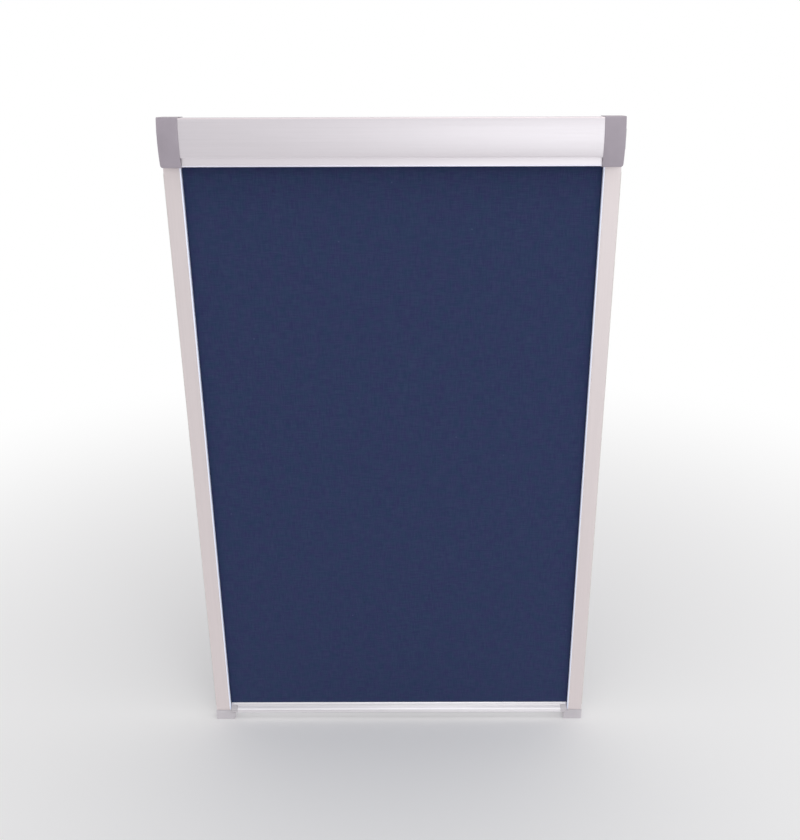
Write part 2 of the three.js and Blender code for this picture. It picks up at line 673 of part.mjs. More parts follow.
const hollowTop = -ledgeDrop - ledgeSlope - barWall;
const hollowBottom = -barHeight + barWall;
function bottomBar() {
  const body = alongX(barOutline(0), -barEndX, barEndX);
  const slot = block(-barEndX - overrun, barEndX + overrun,
    fabricDepth - splineSlot / 2, fabricDepth + splineSlot / 2, -splineDrop, overrun);
  const bore = circle(fabricDepth, -splineDrop, splinePocket, 16);
  const pocket = alongX(bore, -barEndX - overrun, barEndX + overrun);
  const hollow = block(-barEndX, barEndX, barBack + barWall, ledgeFront - barWall, hollowBottom, hollowTop);
  const ends = [[barHeadX, barEndX + overrun], [-barEndX - overrun, -barHeadX]].map(([x0, x1]) => (
    block(x0, x1, barBack - overrun, ledgeFront + overrun, -barHeight - overrun, -barHeadDrop)));
  return cut(body, slot, pocket, hollow, ...ends);
}
add('bottom_bar', bottomBar(), silver, bar);
add('fabric_spline', ring(splineMargin - barEndX, barEndX - splineMargin, splineRadius)
  .translate(0, -fabricDepth, -splineDrop), whitePlastic, bar);

// Glide: the bar's grey head, a tongue inside the bar, and a neck and shoe inside the rail.
const headTop = -barHeadDrop - fit;
const shoeX = fabricHalf + shoeFabricGap;
const shoeEndX = halfWidth - shoeInset;
const shoeFront = railDepth - railWall - shoePlay;
const shoeTop = shoeRise;
const padMiddleX = (shoeX + shoeEndX) / 2;
const shoeMiddle = shoeTop - shoeHeight / 2;
function glide() {
  const outline = [[barBack, -barHeight], [barBack, headTop], [barFront, headTop], [barFront, -ledgeDrop],
    [ledgeFront, -ledgeDrop - ledgeSlope], [ledgeFront, -barHeight]];
  const head = alongX(fillet(fillet(outline, 5, barCorner), 4, barCorner), barHeadX + fit, barEndX);
  const tongue = block(barHeadX - glideTongue, barHeadX + overrun, barBack + barWall + fit,
    ledgeFront - barWall - fit, hollowBottom + fit, hollowTop - fit);
  const neckBack = slotBack + fit;
  const neck = block(barEndX - overrun, shoeX + overrun, neckBack, neckBack + neckThickness,
    headTop - neckHeight, headTop);
  const shoe = block(shoeX, shoeEndX, shoeBackDepth, shoeFront, shoeTop - shoeHeight, shoeTop);
  const pocketHalf = padWidth / 2 + fit;
  const pocketReach = padHeight / 2 + fit;
  const pocket = block(padMiddleX - pocketHalf, padMiddleX + pocketHalf,
    shoeFront - pocketDepth, shoeFront + overrun, shoeMiddle - pocketReach, shoeMiddle + pocketReach);
  return cut(join(head, tongue, neck, shoe), pocket);
}

// A leaf spring: a shallow arch between the pocket's floor and the pad.
function leafSpring() {
  const floor = shoeFront - pocketDepth + fit;
  const crest = railDepth - railWall - fit - padThickness - fit;
  const rise = crest - floor - leafThickness;
  const arch = (offset) => Array.from({ length: leafSteps + 1 }, (_, i) => {
    const along = i / leafSteps;
    return [floor + offset + rise * Math.sin(Math.PI * along), shoeMiddle + (along - 0.5) * leafLength];
  });
  const outline = [...arch(0), ...arch(leafThickness).reverse()];
  return alongX(outline, padMiddleX - leafWidth / 2, padMiddleX + leafWidth / 2);
}

const padFront = railDepth - railWall - fit;
const pad = block(padMiddleX - padWidth / 2, padMiddleX + padWidth / 2, padFront - padThickness, padFront,
  shoeMiddle - padHeight / 2, shoeMiddle + padHeight / 2);
for (const [side, group] of [['right', bar], ['left', leftBar]]) {
  add(`bar_glide_${side}`, glide(), greyPlastic, group);
  add(`brake_spring_${side}`, leafSpring(), springSteel, group);
  add(`brake_pad_${side}`, pad.clone(), darkFelt, group);
}

// Fabric: hangs from the roll's back to the slot in the bar.
const sheetStart = Math.sqrt(rollRadius ** 2 - (rollRadius - fabricThickness - fit) ** 2);
const sheetTop = rollerHeight - sheetStart;
const sheetBottom = barTop - splineDrop + splineRadius + fit;
add('fabric_sheet', block(-fabricHalf, fabricHalf, fabricDepth - fabricThickness / 2,
  fabricDepth + fabricThickness / 2, sheetBottom, sheetTop), navyFabric);

export default blind;
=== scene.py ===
# %% [markdown]
# # A blackout roller blind
# The blind is a curved aluminium cassette with a spring roller inside it, two side rails that hold the
# edges of the cloth, and a bottom bar that slides in them. The CAD frame already holds every solid in its
# place. This lesson models what the eye sees on top of it: rounded edges, screw heads, cloth and finishes.

# %% Load the frame
import math

import bmesh
import bpy
from mathutils import Matrix, Vector


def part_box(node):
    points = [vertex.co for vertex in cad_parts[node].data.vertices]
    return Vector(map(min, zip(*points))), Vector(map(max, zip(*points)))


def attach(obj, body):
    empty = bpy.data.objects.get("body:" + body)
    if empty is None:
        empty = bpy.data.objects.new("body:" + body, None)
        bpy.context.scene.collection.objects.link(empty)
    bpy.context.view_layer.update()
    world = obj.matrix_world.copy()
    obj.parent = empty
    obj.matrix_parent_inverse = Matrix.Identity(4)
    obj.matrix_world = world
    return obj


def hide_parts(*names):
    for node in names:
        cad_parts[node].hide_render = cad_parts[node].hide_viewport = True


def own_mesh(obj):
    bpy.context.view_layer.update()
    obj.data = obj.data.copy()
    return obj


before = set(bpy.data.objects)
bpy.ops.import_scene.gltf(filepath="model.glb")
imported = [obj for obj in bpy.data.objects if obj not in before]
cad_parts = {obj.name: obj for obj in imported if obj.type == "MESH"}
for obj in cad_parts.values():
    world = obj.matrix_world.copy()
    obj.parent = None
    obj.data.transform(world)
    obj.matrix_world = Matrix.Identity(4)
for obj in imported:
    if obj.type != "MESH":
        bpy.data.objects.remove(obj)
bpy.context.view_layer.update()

# %% [markdown]
# ## Camera
# The photograph looks down on the blind a little, from just right of its middle. A camera fitted to the
# corners of the rails and the cassette gave one place, three axes and one focal length. Writing the axes as
# the columns of a matrix keeps the fit exactly, where a "track to" constraint would lose the small roll.
# The picture is cropped, so its middle isn't on the lens axis. The camera's shift makes up for that.

# %% Place the camera
CAMERA_SPOT = Vector((0.0358, -1.22936, 0.05875))
CAMERA_RIGHT = Vector((0.99999616, 0.00029731, -0.00275363))
CAMERA_DOWN = Vector((-0.00247924, -0.34709257, -0.9378276))
CAMERA_AHEAD = Vector((-0.00123459, 0.93783083, -0.3470905))
FOCAL_PIXELS = 880.55
CENTRE_PIXELS = 18.57  # from the middle of the picture to the lens axis
PICTURE_HEIGHT = 840  # pixels, the longer side
SENSOR = 36  # millimetres

camera_data = bpy.data.cameras.new("camera")
camera_data.sensor_width = SENSOR
camera_data.lens = FOCAL_PIXELS / PICTURE_HEIGHT * SENSOR
camera_data.shift_x = -CENTRE_PIXELS / PICTURE_HEIGHT
camera = bpy.data.objects.new("camera", camera_data)
axes = Matrix((CAMERA_RIGHT, -CAMERA_DOWN, -CAMERA_AHEAD)).transposed()
camera.matrix_world = Matrix.Translation(CAMERA_SPOT) @ axes.to_4x4()
bpy.context.scene.collection.objects.link(camera)
bpy.context.scene.camera = camera
print("lens in millimetres:", round(camera_data.lens, 2))

# %% [markdown]
# ## Sizes
# All shapes below are drawn in millimetres, which suits a thing with 1 mm walls, and are scaled to metres
# once, when a piece is finished. "Depth" is the distance forward from the blind's back face.

# %% Name the sizes that several pieces share
MM = 0.001
FIT = 0.3  # gap round a part that slides into another
HALF_WIDTH = 306
BLIND_BOTTOM = -925.1

# The cassette. Its front is an arc, given by the depth and height of its centre.
CASSETTE_TOP = 31.7
FRONT_CENTRE = (-84.8, -1)
FRONT_RADIUS, FASCIA_RADIUS = 120, 119  # of an end cap, of the fascia between the caps
CAP_INNER, CAP_PLATE, CAP_OUTER = 276, 301, 303.5  # open side, end plate's inner face, outer face
CAP_CORNER = 3.5
PROFILE_END, PROFILE_TOP = 300.7, 30.7
FASCIA_WALL = 1.3
FASCIA_BOTTOM = -19
SCREW_SPOTS = ((4.0, 21), (22.4, -15.2))  # depth and height
ROLLER_DEPTH, ROLLER_HEIGHT = 17.995, 5.2

# The side rails. Their slot is given by two depths.
RAIL_INNER, RAIL_OUTER = 281, 305
RAIL_TOP, RAIL_BOTTOM = -32.0, -907.3
RAIL_DEPTH = 15
RAIL_WALL = 1.4
SLOT_BACK, SLOT_FRONT = 4.7, 10.3
TONGUE_INNER, TONGUE_DEPTHS = 290, (1.7, 3.1)  # of the tongues by which the caps hold a rail

# The bottom bar and the cloth.
BAR_TOP = -897.6
BAR_HEIGHT = 13.8
BAR_END = 280.6
BAR_BACK, BAR_FRONT, LEDGE_FRONT = 5, 10, 17  # depths of the narrow top and of the ledge
CLOTH_DEPTH = 7.5
CLOTH_THICK = 0.33
CLOTH_HALF = 290


def front_depth(radius, height):
    """Depth of the cassette's curved front at a height."""
    rise = height - FRONT_CENTRE[1]
    return FRONT_CENTRE[0] + math.sqrt(radius * radius - rise * rise)


def lean(radius, height):
    """Angle in degrees, from the centre of the curved front, of its point at a height."""
    return math.degrees(math.asin((height - FRONT_CENTRE[1]) / radius))


print("deepest point of the front:", front_depth(FRONT_RADIUS, FRONT_CENTRE[1]))

# %% [markdown]
# ## Drawing an outline and extruding it
# Aluminium profiles and most of the mouldings here have one outline along their whole length, so the tool
# that fits them is an outline drawn with a pen and then extruded. The pen goes from point to point. An arc
# is a `spin` of the pen's vertex about a centre, and a rounded corner is a vertex bevel.

# %% Extrude an outline
PLANES = {
    "side": Matrix(((0, 0, 1), (-1, 0, 0), (0, 1, 0))),  # depth and height, extruded along X
    "plan": Matrix(((1, 0, 0), (0, -1, 0), (0, 0, 1))),  # X and depth, extruded along Z
    "front": Matrix(((1, 0, 0), (0, 0, -1), (0, 1, 0))),  # X and height, extruded along the depth
}


def lift(bm, distance, plane):
    """Extrude the flat faces of a drawing, and turn the shape into its plane."""
    grown = bmesh.ops.extrude_face_region(bm, geom=bm.faces[:])["geom"]
    moved = [part for part in grown if isinstance(part, bmesh.types.BMVert)]
    bmesh.ops.translate(bm, vec=(0, 0, distance), verts=moved)
    bmesh.ops.transform(bm, matrix=PLANES[plane].to_4x4(), verts=bm.verts)
    bmesh.ops.recalc_face_normals(bm, faces=bm.faces)
    return bm


def extrusion(path, plane, start, end):
    """Extrude a closed outline between two places.

    A step of the path is a point (a, b), a rounded corner (a, b, radius), or an arc
    (centre a, centre b, turn in degrees, chords, radius of its last corner).
    """
    bm = bmesh.new()
    corners, first, pen = [], None, None
    for step in path:
        if len(step) == 5:
            centre = (step[0], step[1], start)
            spun = bmesh.ops.spin(bm, geom=[pen], cent=centre, axis=(0, 0, 1),
                                  angle=math.radians(step[2]), steps=step[3], use_duplicate=False)
            pen = next(part for part in spun["geom_last"] if isinstance(part, bmesh.types.BMVert))
            corners.append((pen, step[4]))
            continue
        spot = bm.verts.new((step[0], step[1], start))
        if pen:
            bm.edges.new((pen, spot))
        first, pen = first or spot, spot
        corners.append((spot, step[2] if len(step) == 3 else 0))
    bm.edges.new((pen, first))
    bmesh.ops.contextual_create(bm, geom=bm.edges[:])
    for spot, radius in corners:
        if radius:
            bmesh.ops.bevel(bm, geom=[spot], offset=radius, segments=4, profile=0.5,
                            affect="VERTICES", material=-1)
    return lift(bm, end - start, plane)


def block(x, depth, height):
    """A block between two X, two depths and two heights."""
    (x0, x1), (d0, d1), (z0, z1) = x, depth, height
    return extrusion([(d0, z0), (d0, z1), (d1, z1), (d1, z0)], "side", x0, x1)


print("planes to draw in:", list(PLANES))

# %% [markdown]
# ## Turning, cutting and softening
# Screws are turned shapes: half an outline, spun all the way round an axis. Holes and pockets come from a
# Boolean with the exact solver, which is applied at once, so no cutter stays in the scene. Real edges are
# never sharp, so picked edges are bevelled: a thin bright line along an edge is what makes metal and moulded
# plastic look solid.

# %% Turn, cut and soften
WELD = 0.001  # points nearer than this become one
FLAT = math.radians(0.5)  # faces that meet at less than this become one


def turning(points, spot):
    """Spin a line of (x, radius) points about the X axis, then move the shape to (depth, height)."""
    bm = bmesh.new()
    line = [bm.verts.new((x, 0, radius)) for x, radius in points]
    edges = [bm.edges.new(pair) for pair in zip(line, line[1:])]
    bmesh.ops.spin(bm, geom=line + edges, cent=(0, 0, 0), axis=(1, 0, 0), angle=math.tau, steps=32,
                   use_merge=True, use_duplicate=False)
    bmesh.ops.remove_doubles(bm, verts=bm.verts, dist=WELD)
    bmesh.ops.recalc_face_normals(bm, faces=bm.faces)
    bmesh.ops.translate(bm, vec=(0, -spot[0], spot[1]), verts=bm.verts)
    return bm


def as_object(bm, name):
    """Make a linked object of a bmesh, and free the bmesh."""
    mesh = bpy.data.meshes.new(name)
    bm.to_mesh(mesh)
    bm.free()
    obj = bpy.data.objects.new(name, mesh)
    bpy.context.scene.collection.objects.link(obj)
    return obj


def combine(bm, others, operation):
    """Join shapes to a shape, or cut them from it, with Boolean modifiers that are applied at once."""
    base = as_object(bm, "base")
    tools = [as_object(other, "tool") for other in others]
    for tool in tools:
        step = base.modifiers.new(operation, "BOOLEAN")
        step.object, step.operation, step.solver = tool, operation, "EXACT"
    solid = base.evaluated_get(bpy.context.evaluated_depsgraph_get())
    result = bmesh.new()
    result.from_mesh(solid.to_mesh())
    for obj in [base, *tools]:
        mesh = obj.data
        bpy.data.objects.remove(obj)
        bpy.data.meshes.remove(mesh)
    bmesh.ops.remove_doubles(result, verts=result.verts, dist=WELD)
    bmesh.ops.dissolve_limit(result, angle_limit=FLAT, verts=result.verts, edges=result.edges)
    return result


def cut(bm, *tools):
    return combine(bm, tools, "DIFFERENCE")


def join(bm, *others):
    return combine(bm, others, "UNION")


def soften(bm, radius, where, segments=3, sharper=30):
    """Round the sharp edges whose middle the test picks."""
    edges = [edge for edge in bm.edges if edge.is_manifold
             and edge.calc_face_angle() > math.radians(sharper)
             and where((edge.verts[0].co + edge.verts[1].co) / 2)]
    bmesh.ops.bevel(bm, geom=edges, offset=radius, segments=segments, profile=0.5, affect="EDGES",
                    clamp_overlap=True, material=-1)


print("smallest radius that shows as a bright line: about 0.3 mm")

# %% [markdown]
# ## Finishing a piece
# Each piece ends the same way: it is scaled to metres, shaded smooth except across sharp edges, tied to the
# body that it moves with, and put in the place of its CAD node. A left-hand piece is a mirrored copy of the
# right-hand one, with its faces turned round again.

# %% Make finished objects
SHARP = math.radians(32)


def mirrored(bm):
    """A copy for the other side of the blind."""
    other = bm.copy()
    bmesh.ops.scale(other, vec=(-1, 1, 1), verts=other.verts)
    bmesh.ops.reverse_faces(other, faces=other.faces)
    return other


def finished(bm, name, body, node):
    """Make a finished object of a shape in millimetres, in the place of a CAD node."""
    bmesh.ops.scale(bm, vec=(MM, MM, MM), verts=bm.verts)
    piece = as_object(bm, name)
    piece.data.shade_smooth()
    piece.data.set_sharp_from_angle(angle=SHARP)
    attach(piece, body)
    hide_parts(node)
    print(name, "has", len(piece.data.polygons), "faces")
    return piece


def finished_pair(bm, name, body, node):
    """Make the right-hand piece and its mirrored twin."""
    twin = mirrored(bm)
    return [finished(bm, f"{name}_right", body, f"{node}_right"),
            finished(twin, f"{name}_left", body, f"{node}_left")]


print("shading turns sharp at", round(math.degrees(SHARP)), "degrees")

# %% [markdown]
# ## Cassette: fascia and back profile
# The fascia is an extrusion 1.3 mm thick: a curved face, a top wall with a hook that snaps over the back
# profile, a floor that stops short of the back to let the cloth out, and a flat skirt that ends in a round
# bead. One closed outline draws all of that. The slotted ring that the screws bite into is a radial edge
# spun most of the way round, then extruded as well.

# %% Model the two profiles of the cassette
RING_RADII = (1.3, 2.8)
RING_SLOT = 36  # degrees


def screw_ring(spot, slot_angle):
    """The slotted ring, along a profile, that an end cap's screws go into."""
    bm = bmesh.new()
    start = math.radians(slot_angle + RING_SLOT / 2)
    across, up = math.cos(start), math.sin(start)
    line = [bm.verts.new((spot[0] + radius * across, spot[1] + radius * up, -PROFILE_END))
            for radius in RING_RADII]
    bmesh.ops.spin(bm, geom=[*line, bm.edges.new(line)], cent=(*spot, -PROFILE_END), axis=(0, 0, 1),
                   angle=math.radians(360 - RING_SLOT), steps=24, use_duplicate=False)
    return lift(bm, 2 * PROFILE_END, "side")


def add_shell(bm, other):
    """Put another closed shell in the same mesh."""
    mesh = bpy.data.meshes.new("shell")
    other.to_mesh(mesh)
    other.free()
    bm.from_mesh(mesh)
    bpy.data.meshes.remove(mesh)


SKIRT_FRONT, SKIRT_BACK = 29.5, 28.2
BEAD = (28.85, -29.6)
BEAD_RADIUS = 1.1
inner = FASCIA_RADIUS - FASCIA_WALL
floor_top = FASCIA_BOTTOM + FASCIA_WALL
roof = PROFILE_TOP - FASCIA_WALL
bead_half = SKIRT_FRONT - BEAD[0]
bead_rise = math.sqrt(BEAD_RADIUS ** 2 - bead_half ** 2)
bead_turn = 2 * math.degrees(math.atan2(bead_half, bead_rise)) - 360
face_turn = lean(FASCIA_RADIUS, FASCIA_BOTTOM) - lean(FASCIA_RADIUS, PROFILE_TOP)
lining_turn = lean(inner, roof) - lean(inner, floor_top)
fascia = extrusion([
    (1.8, PROFILE_TOP, 0.3),
    (front_depth(FASCIA_RADIUS, PROFILE_TOP), PROFILE_TOP, 0.5),
    (*FRONT_CENTRE, face_turn, 24, 0.25),
    (SKIRT_FRONT, FASCIA_BOTTOM, 0.3),
    (SKIRT_FRONT, BEAD[1] + bead_rise),
    (*BEAD, bead_turn, 14, 0),
    (SKIRT_BACK, FASCIA_BOTTOM),
    (11.5, FASCIA_BOTTOM, 0.5), (11.5, -16, 0.4), (12.8, -16, 0.4), (12.8, floor_top),
    (front_depth(inner, floor_top), floor_top),
    (*FRONT_CENTRE, lining_turn, 24, 0),
    (10, roof), (10, 27.5, 0.3), (8.7, 27.5, 0.3), (8.7, roof), (1.8, roof),
], "side", -PROFILE_END, PROFILE_END)
add_shell(fascia, screw_ring(SCREW_SPOTS[1], 90))
fascia = finished(fascia, "fascia", "frame", "cassette_fascia")

back = extrusion([
    (0, -PROFILE_TOP), (0, PROFILE_TOP), (1.5, PROFILE_TOP, 0.3), (1.5, 29.1), (8.4, 29.1, 0.4),
    (8.4, 27.8, 0.4), (1.5, 27.8), (1.5, floor_top), (3.6, floor_top, 0.4), (3.6, FASCIA_BOTTOM, 0.4),
    (1.5, FASCIA_BOTTOM), (1.5, -PROFILE_TOP, 0.3),
], "side", -PROFILE_END, PROFILE_END)
add_shell(back, screw_ring(SCREW_SPOTS[0], 0))
back_profile = finished(back, "back_profile", "frame", "cassette_back")

# %% [markdown]
# ## End caps
# An end cap is a moulded cup that closes the cassette's end, with soft outer edges. It starts as the curved
# outline, extruded. A second extrusion, drawn as the cap looks from the front, has the round lower corner,
# and what the two have in common is the outside of the cap. Its edges are bevelled. Then it is hollowed to a
# 0.7 mm skin, gets the roller's socket and the tongue that enters the rail, and is cut for its two screws and
# the two tabs of its bracket. The left cap holds a square shaft and the right one a round bush, so each gets
# its own socket.


# %% Model the end caps
def front_path(radius, top, bottom, top_round, bottom_round, back_depth):
    """Outline of a D with the cassette's curved front."""
    turn = lean(radius, bottom) - lean(radius, top)
    return [(back_depth, bottom), (back_depth, top), (front_depth(radius, top), top, top_round),
            (*FRONT_CENTRE, turn, 16, bottom_round)]


def tab_blocks(gap, x_end):
    """The bracket's two tabs, or the slots for them when they are grown by a gap."""
    return [block((302 - gap, x_end), (10 - gap, 22 + gap), (low - gap, low + 1.2 + gap))
            for low in (-10, 14.8)]


def end_cap(seat):
    """Right-hand end cap, with the roller's seat cut out of its socket."""
    outline = front_path(FRONT_RADIUS, CASSETTE_TOP, -CASSETTE_TOP, 1.6, 1.6, 0)
    shell = extrusion(outline, "side", CAP_INNER, CAP_OUTER)
    past = CAP_INNER - 1
    silhouette = extrusion([(past, -CASSETTE_TOP), (past, CASSETTE_TOP + 1), (CAP_OUTER, CASSETTE_TOP + 1),
                            (CAP_OUTER, -CASSETTE_TOP, CAP_CORNER)], "front", -1, 40)
    shell = combine(shell, [silhouette], "INTERSECT")
    corner_x, corner_z = CAP_OUTER - CAP_CORNER, CAP_CORNER - CASSETTE_TOP
    soften(shell, 1.1, lambda spot: spot.y < -1 and (
        spot.x > CAP_OUTER - 0.1 or (spot.x > corner_x and spot.z < corner_z)), 4)
    soften(shell, 0.45, lambda spot: spot.x < CAP_INNER + 0.1 and spot.y < -1, 2)
    room_top, room_radius = PROFILE_TOP + FIT, FASCIA_RADIUS + FIT
    room = extrusion(front_path(room_radius, room_top, -room_top, 0, 0, -1), "side", past, CAP_PLATE)
    glide_way = block((past, 302.3), (SLOT_BACK - FIT, SLOT_FRONT + FIT), (-CASSETTE_TOP - 1, FASCIA_BOTTOM))
    cup = cut(shell, room, glide_way)
    socket = turning([(298.1, 0), (298.1, 6.1), (298.5, 6.5), (302.25, 6.5), (302.25, 0)],
                     (ROLLER_DEPTH, ROLLER_HEIGHT))
    tongue = block((TONGUE_INNER, 300), TONGUE_DEPTHS, (-44, -31.35))
    holes = []
    for spot in SCREW_SPOTS:
        holes.append(turning([(295, 0), (295, 1.6), (301.7, 1.6), (301.7, 3.1), (303.1, 3.1), (304.2, 4.2),
                              (304.2, 0)], spot))
    return cut(join(cup, socket, tongue), seat, *holes, *tab_blocks(FIT, 305))


SHAFT_HALF = 2.8  # half the side of the square shaft, with its gap
bush_seat = turning([(290, 0), (290, 4.3), (301.5, 4.3), (301.5, 0)], (ROLLER_DEPTH, ROLLER_HEIGHT))
shaft_seat = block((290, 302.5), (ROLLER_DEPTH - SHAFT_HALF, ROLLER_DEPTH + SHAFT_HALF),
                   (ROLLER_HEIGHT - SHAFT_HALF, ROLLER_HEIGHT + SHAFT_HALF))
caps = [finished(end_cap(bush_seat), "cap_right", "frame", "end_cap_right"),
        finished(mirrored(end_cap(shaft_seat)), "cap_left", "frame", "end_cap_left")]

# %% [markdown]
# ## Screws and brackets
# Four pan-head screws hold the end caps. Each is turned, with a domed head, and two crossed blocks cut its
# recess. The brackets are pressed from 2.2 mm sheet: rounded corners, two countersunk holes and two tabs.

# %% Model the screws and the brackets
SCREW_LINE = [(-13.1, 0), (-12.2, 0.75), (-11, 1), (-1.1, 1), (-1.1, 2.5), (-0.9, 2.8), (-0.55, 2.8),
              (-0.2, 2.3), (-0.05, 1.4), (0, 0)]  # from the top of the head: along the screw, and radius
HEAD_FACE = CAP_OUTER - 0.4
RECESS_DEPTH = 0.66
ARM_LONG, ARM_WIDE = 2, 0.35  # half sizes of an arm of the cross
screws = []
for level, (depth, height) in zip(("upper", "lower"), SCREW_SPOTS):
    shape = turning([(HEAD_FACE + along, radius) for along, radius in SCREW_LINE], (depth, height))
    recess = [block((HEAD_FACE - RECESS_DEPTH, HEAD_FACE + 1), (depth - wide, depth + wide),
                    (height - tall, height + tall))
              for wide, tall in ((ARM_LONG, ARM_WIDE), (ARM_WIDE, ARM_LONG))]
    shape = cut(shape, *recess)
    for side, form in (("left", mirrored(shape)), ("right", shape)):
        screws.append(finished(form, f"screw_{side}_{level}", "frame", f"end_cap_screw_{side}_{level}"))

plate = extrusion([(6, -10, 2), (6, 16, 2), (26, 16, 2), (26, -10, 2)], "side", 303.8, HALF_WIDTH)
holes = [turning([(303, 0), (303, 2.2), (304.6, 2.2), (306.1, 3.7), (306.1, 0)], (16, height))
         for height in (9, -3)]
plate = cut(plate, *holes)
soften(plate, 0.25, lambda spot: True, 2, 60)
for tab in tab_blocks(0, 304):
    plate = join(plate, tab)
brackets = finished_pair(plate, "bracket", "frame", "mounting_bracket")

# %% [markdown]
# ## Side rails
# A side rail is a channel whose slot faces the middle of the blind. The outline goes round the outside and
# back round the inside, past the rib that holds the brush. The front corners are rounded more than the lips
# of the slot, as on the real extrusion. The inner one is a round lip, and a shallow groove parts it from the
# flat face. Its bright line is partly the rounding's own highlight and partly a highlight painted in the
# finish.

# %% Model the side rails
GROOVE_START, GROOVE_WIDE, GROOVE_SLOPE, GROOVE_DEEP = RAIL_INNER + 3, 0.6, 0.15, 0.3
RIB_INNER, RIB_OUTER, RIB_BACK = 287.7, 288.7, 11.6
lining_back, lining_front = RAIL_WALL, RAIL_DEPTH - RAIL_WALL
lining_inner, lining_outer = RAIL_INNER + RAIL_WALL, RAIL_OUTER - RAIL_WALL
groove_end, groove_floor = GROOVE_START + GROOVE_WIDE, RAIL_DEPTH - GROOVE_DEEP
rail = extrusion([
    (RAIL_OUTER, 0, 0.3), (RAIL_INNER, 0, 0.3), (RAIL_INNER, SLOT_BACK, 0.3), (lining_inner, SLOT_BACK, 0.2),
    (lining_inner, lining_back), (lining_outer, lining_back), (lining_outer, lining_front),
    (RIB_OUTER, lining_front), (RIB_OUTER, RIB_BACK, 0.2), (RIB_INNER, RIB_BACK, 0.2),
    (RIB_INNER, lining_front), (lining_inner, lining_front), (lining_inner, SLOT_FRONT, 0.2),
    (RAIL_INNER, SLOT_FRONT, 0.3), (RAIL_INNER, RAIL_DEPTH, 1.8),
    (GROOVE_START, RAIL_DEPTH), (GROOVE_START + GROOVE_SLOPE, groove_floor),
    (groove_end - GROOVE_SLOPE, groove_floor), (groove_end, RAIL_DEPTH),
    (RAIL_OUTER, RAIL_DEPTH, 0.9),
], "plan", RAIL_BOTTOM, RAIL_TOP)
rails = finished_pair(rail, "rail", "frame", "side_rail")

# %% [markdown]
# ## Foot caps
# A foot cap closes the lower end of a rail. Seen from the front it is an L: the body under the rail, and a
# low tab on which the bar comes to rest. A second block gives the body its full depth, and a tongue holds
# the cap in the rail. The two shapes are joined before the edges are rounded, so that the rounding runs
# over the joint.

# %% Model the foot caps
FOOT_OUTER, STOP_INNER = 305.4, 276
FOOT_TOP, STOP_TOP = -907.6, -911.7
STOP_BACK, FOOT_FRONT = 4.2, 15.8
foot = extrusion([
    (FOOT_OUTER, BLIND_BOTTOM, 1.0), (FOOT_OUTER, FOOT_TOP, 0.8), (RAIL_INNER, FOOT_TOP, 0.8),
    (RAIL_INNER, STOP_TOP), (STOP_INNER, STOP_TOP, 0.9), (STOP_INNER, BLIND_BOTTOM, 0.9),
], "front", STOP_BACK, FOOT_FRONT)
heel = block((RAIL_INNER, FOOT_OUTER), (0, 6), (BLIND_BOTTOM, FOOT_TOP))
foot = join(foot, heel)
soften(foot, 0.7, lambda spot: True, 3, 50)
tongue = block((TONGUE_INNER, 302), TONGUE_DEPTHS, (FOOT_TOP - 1, -895.6))
foot = join(foot, tongue)
feet = finished_pair(foot, "foot", "frame", "foot_cap")

# %% [markdown]
# ## Bottom bar and glides
# The bar is one extrusion with a narrow top, in which a round pocket grips the cloth's hem, and a ledge for
# the fingers. Down its front run a chamfer, a hollow fillet, the round crest of the ledge, a groove and a
# lower lip. The bar is hollow, and its ends are cut away for the grey heads of the glides. A glide is a
# moulding: the head, a tongue inside the bar, a neck through the rail's slot, and a shoe that slides in the
# rail and carries the felt brake.

# %% Model the bottom bar
POCKET_RADIUS = 1.3
pocket_half = CLOTH_THICK / 2 + FIT
pocket_rise = math.sqrt(POCKET_RADIUS ** 2 - pocket_half ** 2)
pocket_middle = BAR_TOP - 2.2
pocket_turn = 360 - 2 * math.degrees(math.atan2(pocket_half, pocket_rise))
bar_bottom = BAR_TOP - BAR_HEIGHT
ledge = [(LEDGE_FRONT - depth, BAR_TOP - drop, radius) for depth, drop, radius in (
    (2, 6.9, 1.5), (0, 8.7, 1.0), (0.3, 9.8, 0.3), (1.4, 10.3, 0.2), (1.4, 10.7, 0.2), (0, 12.1, 0.5),
    (0, BAR_HEIGHT, 0.6))]
bar = extrusion([
    (BAR_BACK, bar_bottom, 0.4), (BAR_BACK, BAR_TOP, 0.5), (CLOTH_DEPTH - pocket_half, BAR_TOP, 0.2),
    (CLOTH_DEPTH - pocket_half, pocket_middle + pocket_rise),
    (CLOTH_DEPTH, pocket_middle, pocket_turn, 14, 0), (CLOTH_DEPTH + pocket_half, BAR_TOP, 0.2),
    (BAR_FRONT, BAR_TOP - 1.3, 0.5), (BAR_FRONT, BAR_TOP - 4.7, 1.8), *ledge,
], "side", -BAR_END, BAR_END)
hollow = block((-BAR_END - 1, BAR_END + 1), (6.3, 14.8), (BAR_TOP - 12.5, BAR_TOP - 8.4))
HEAD_ROOM = 270.2  # from here on, the ledge is cut away for a glide's head
ends = [block(x, (4, 18), (bar_bottom - 1, BAR_TOP - 3.8)) for x in ((HEAD_ROOM, 282), (-282, -HEAD_ROOM))]
bar = cut(bar, hollow, *ends)
soften(bar, 0.2, lambda spot: abs(spot.x) > HEAD_ROOM - 0.1, 2, 50)
bottom_bar = finished(bar, "ledge_bar", "bar", "bottom_bar")

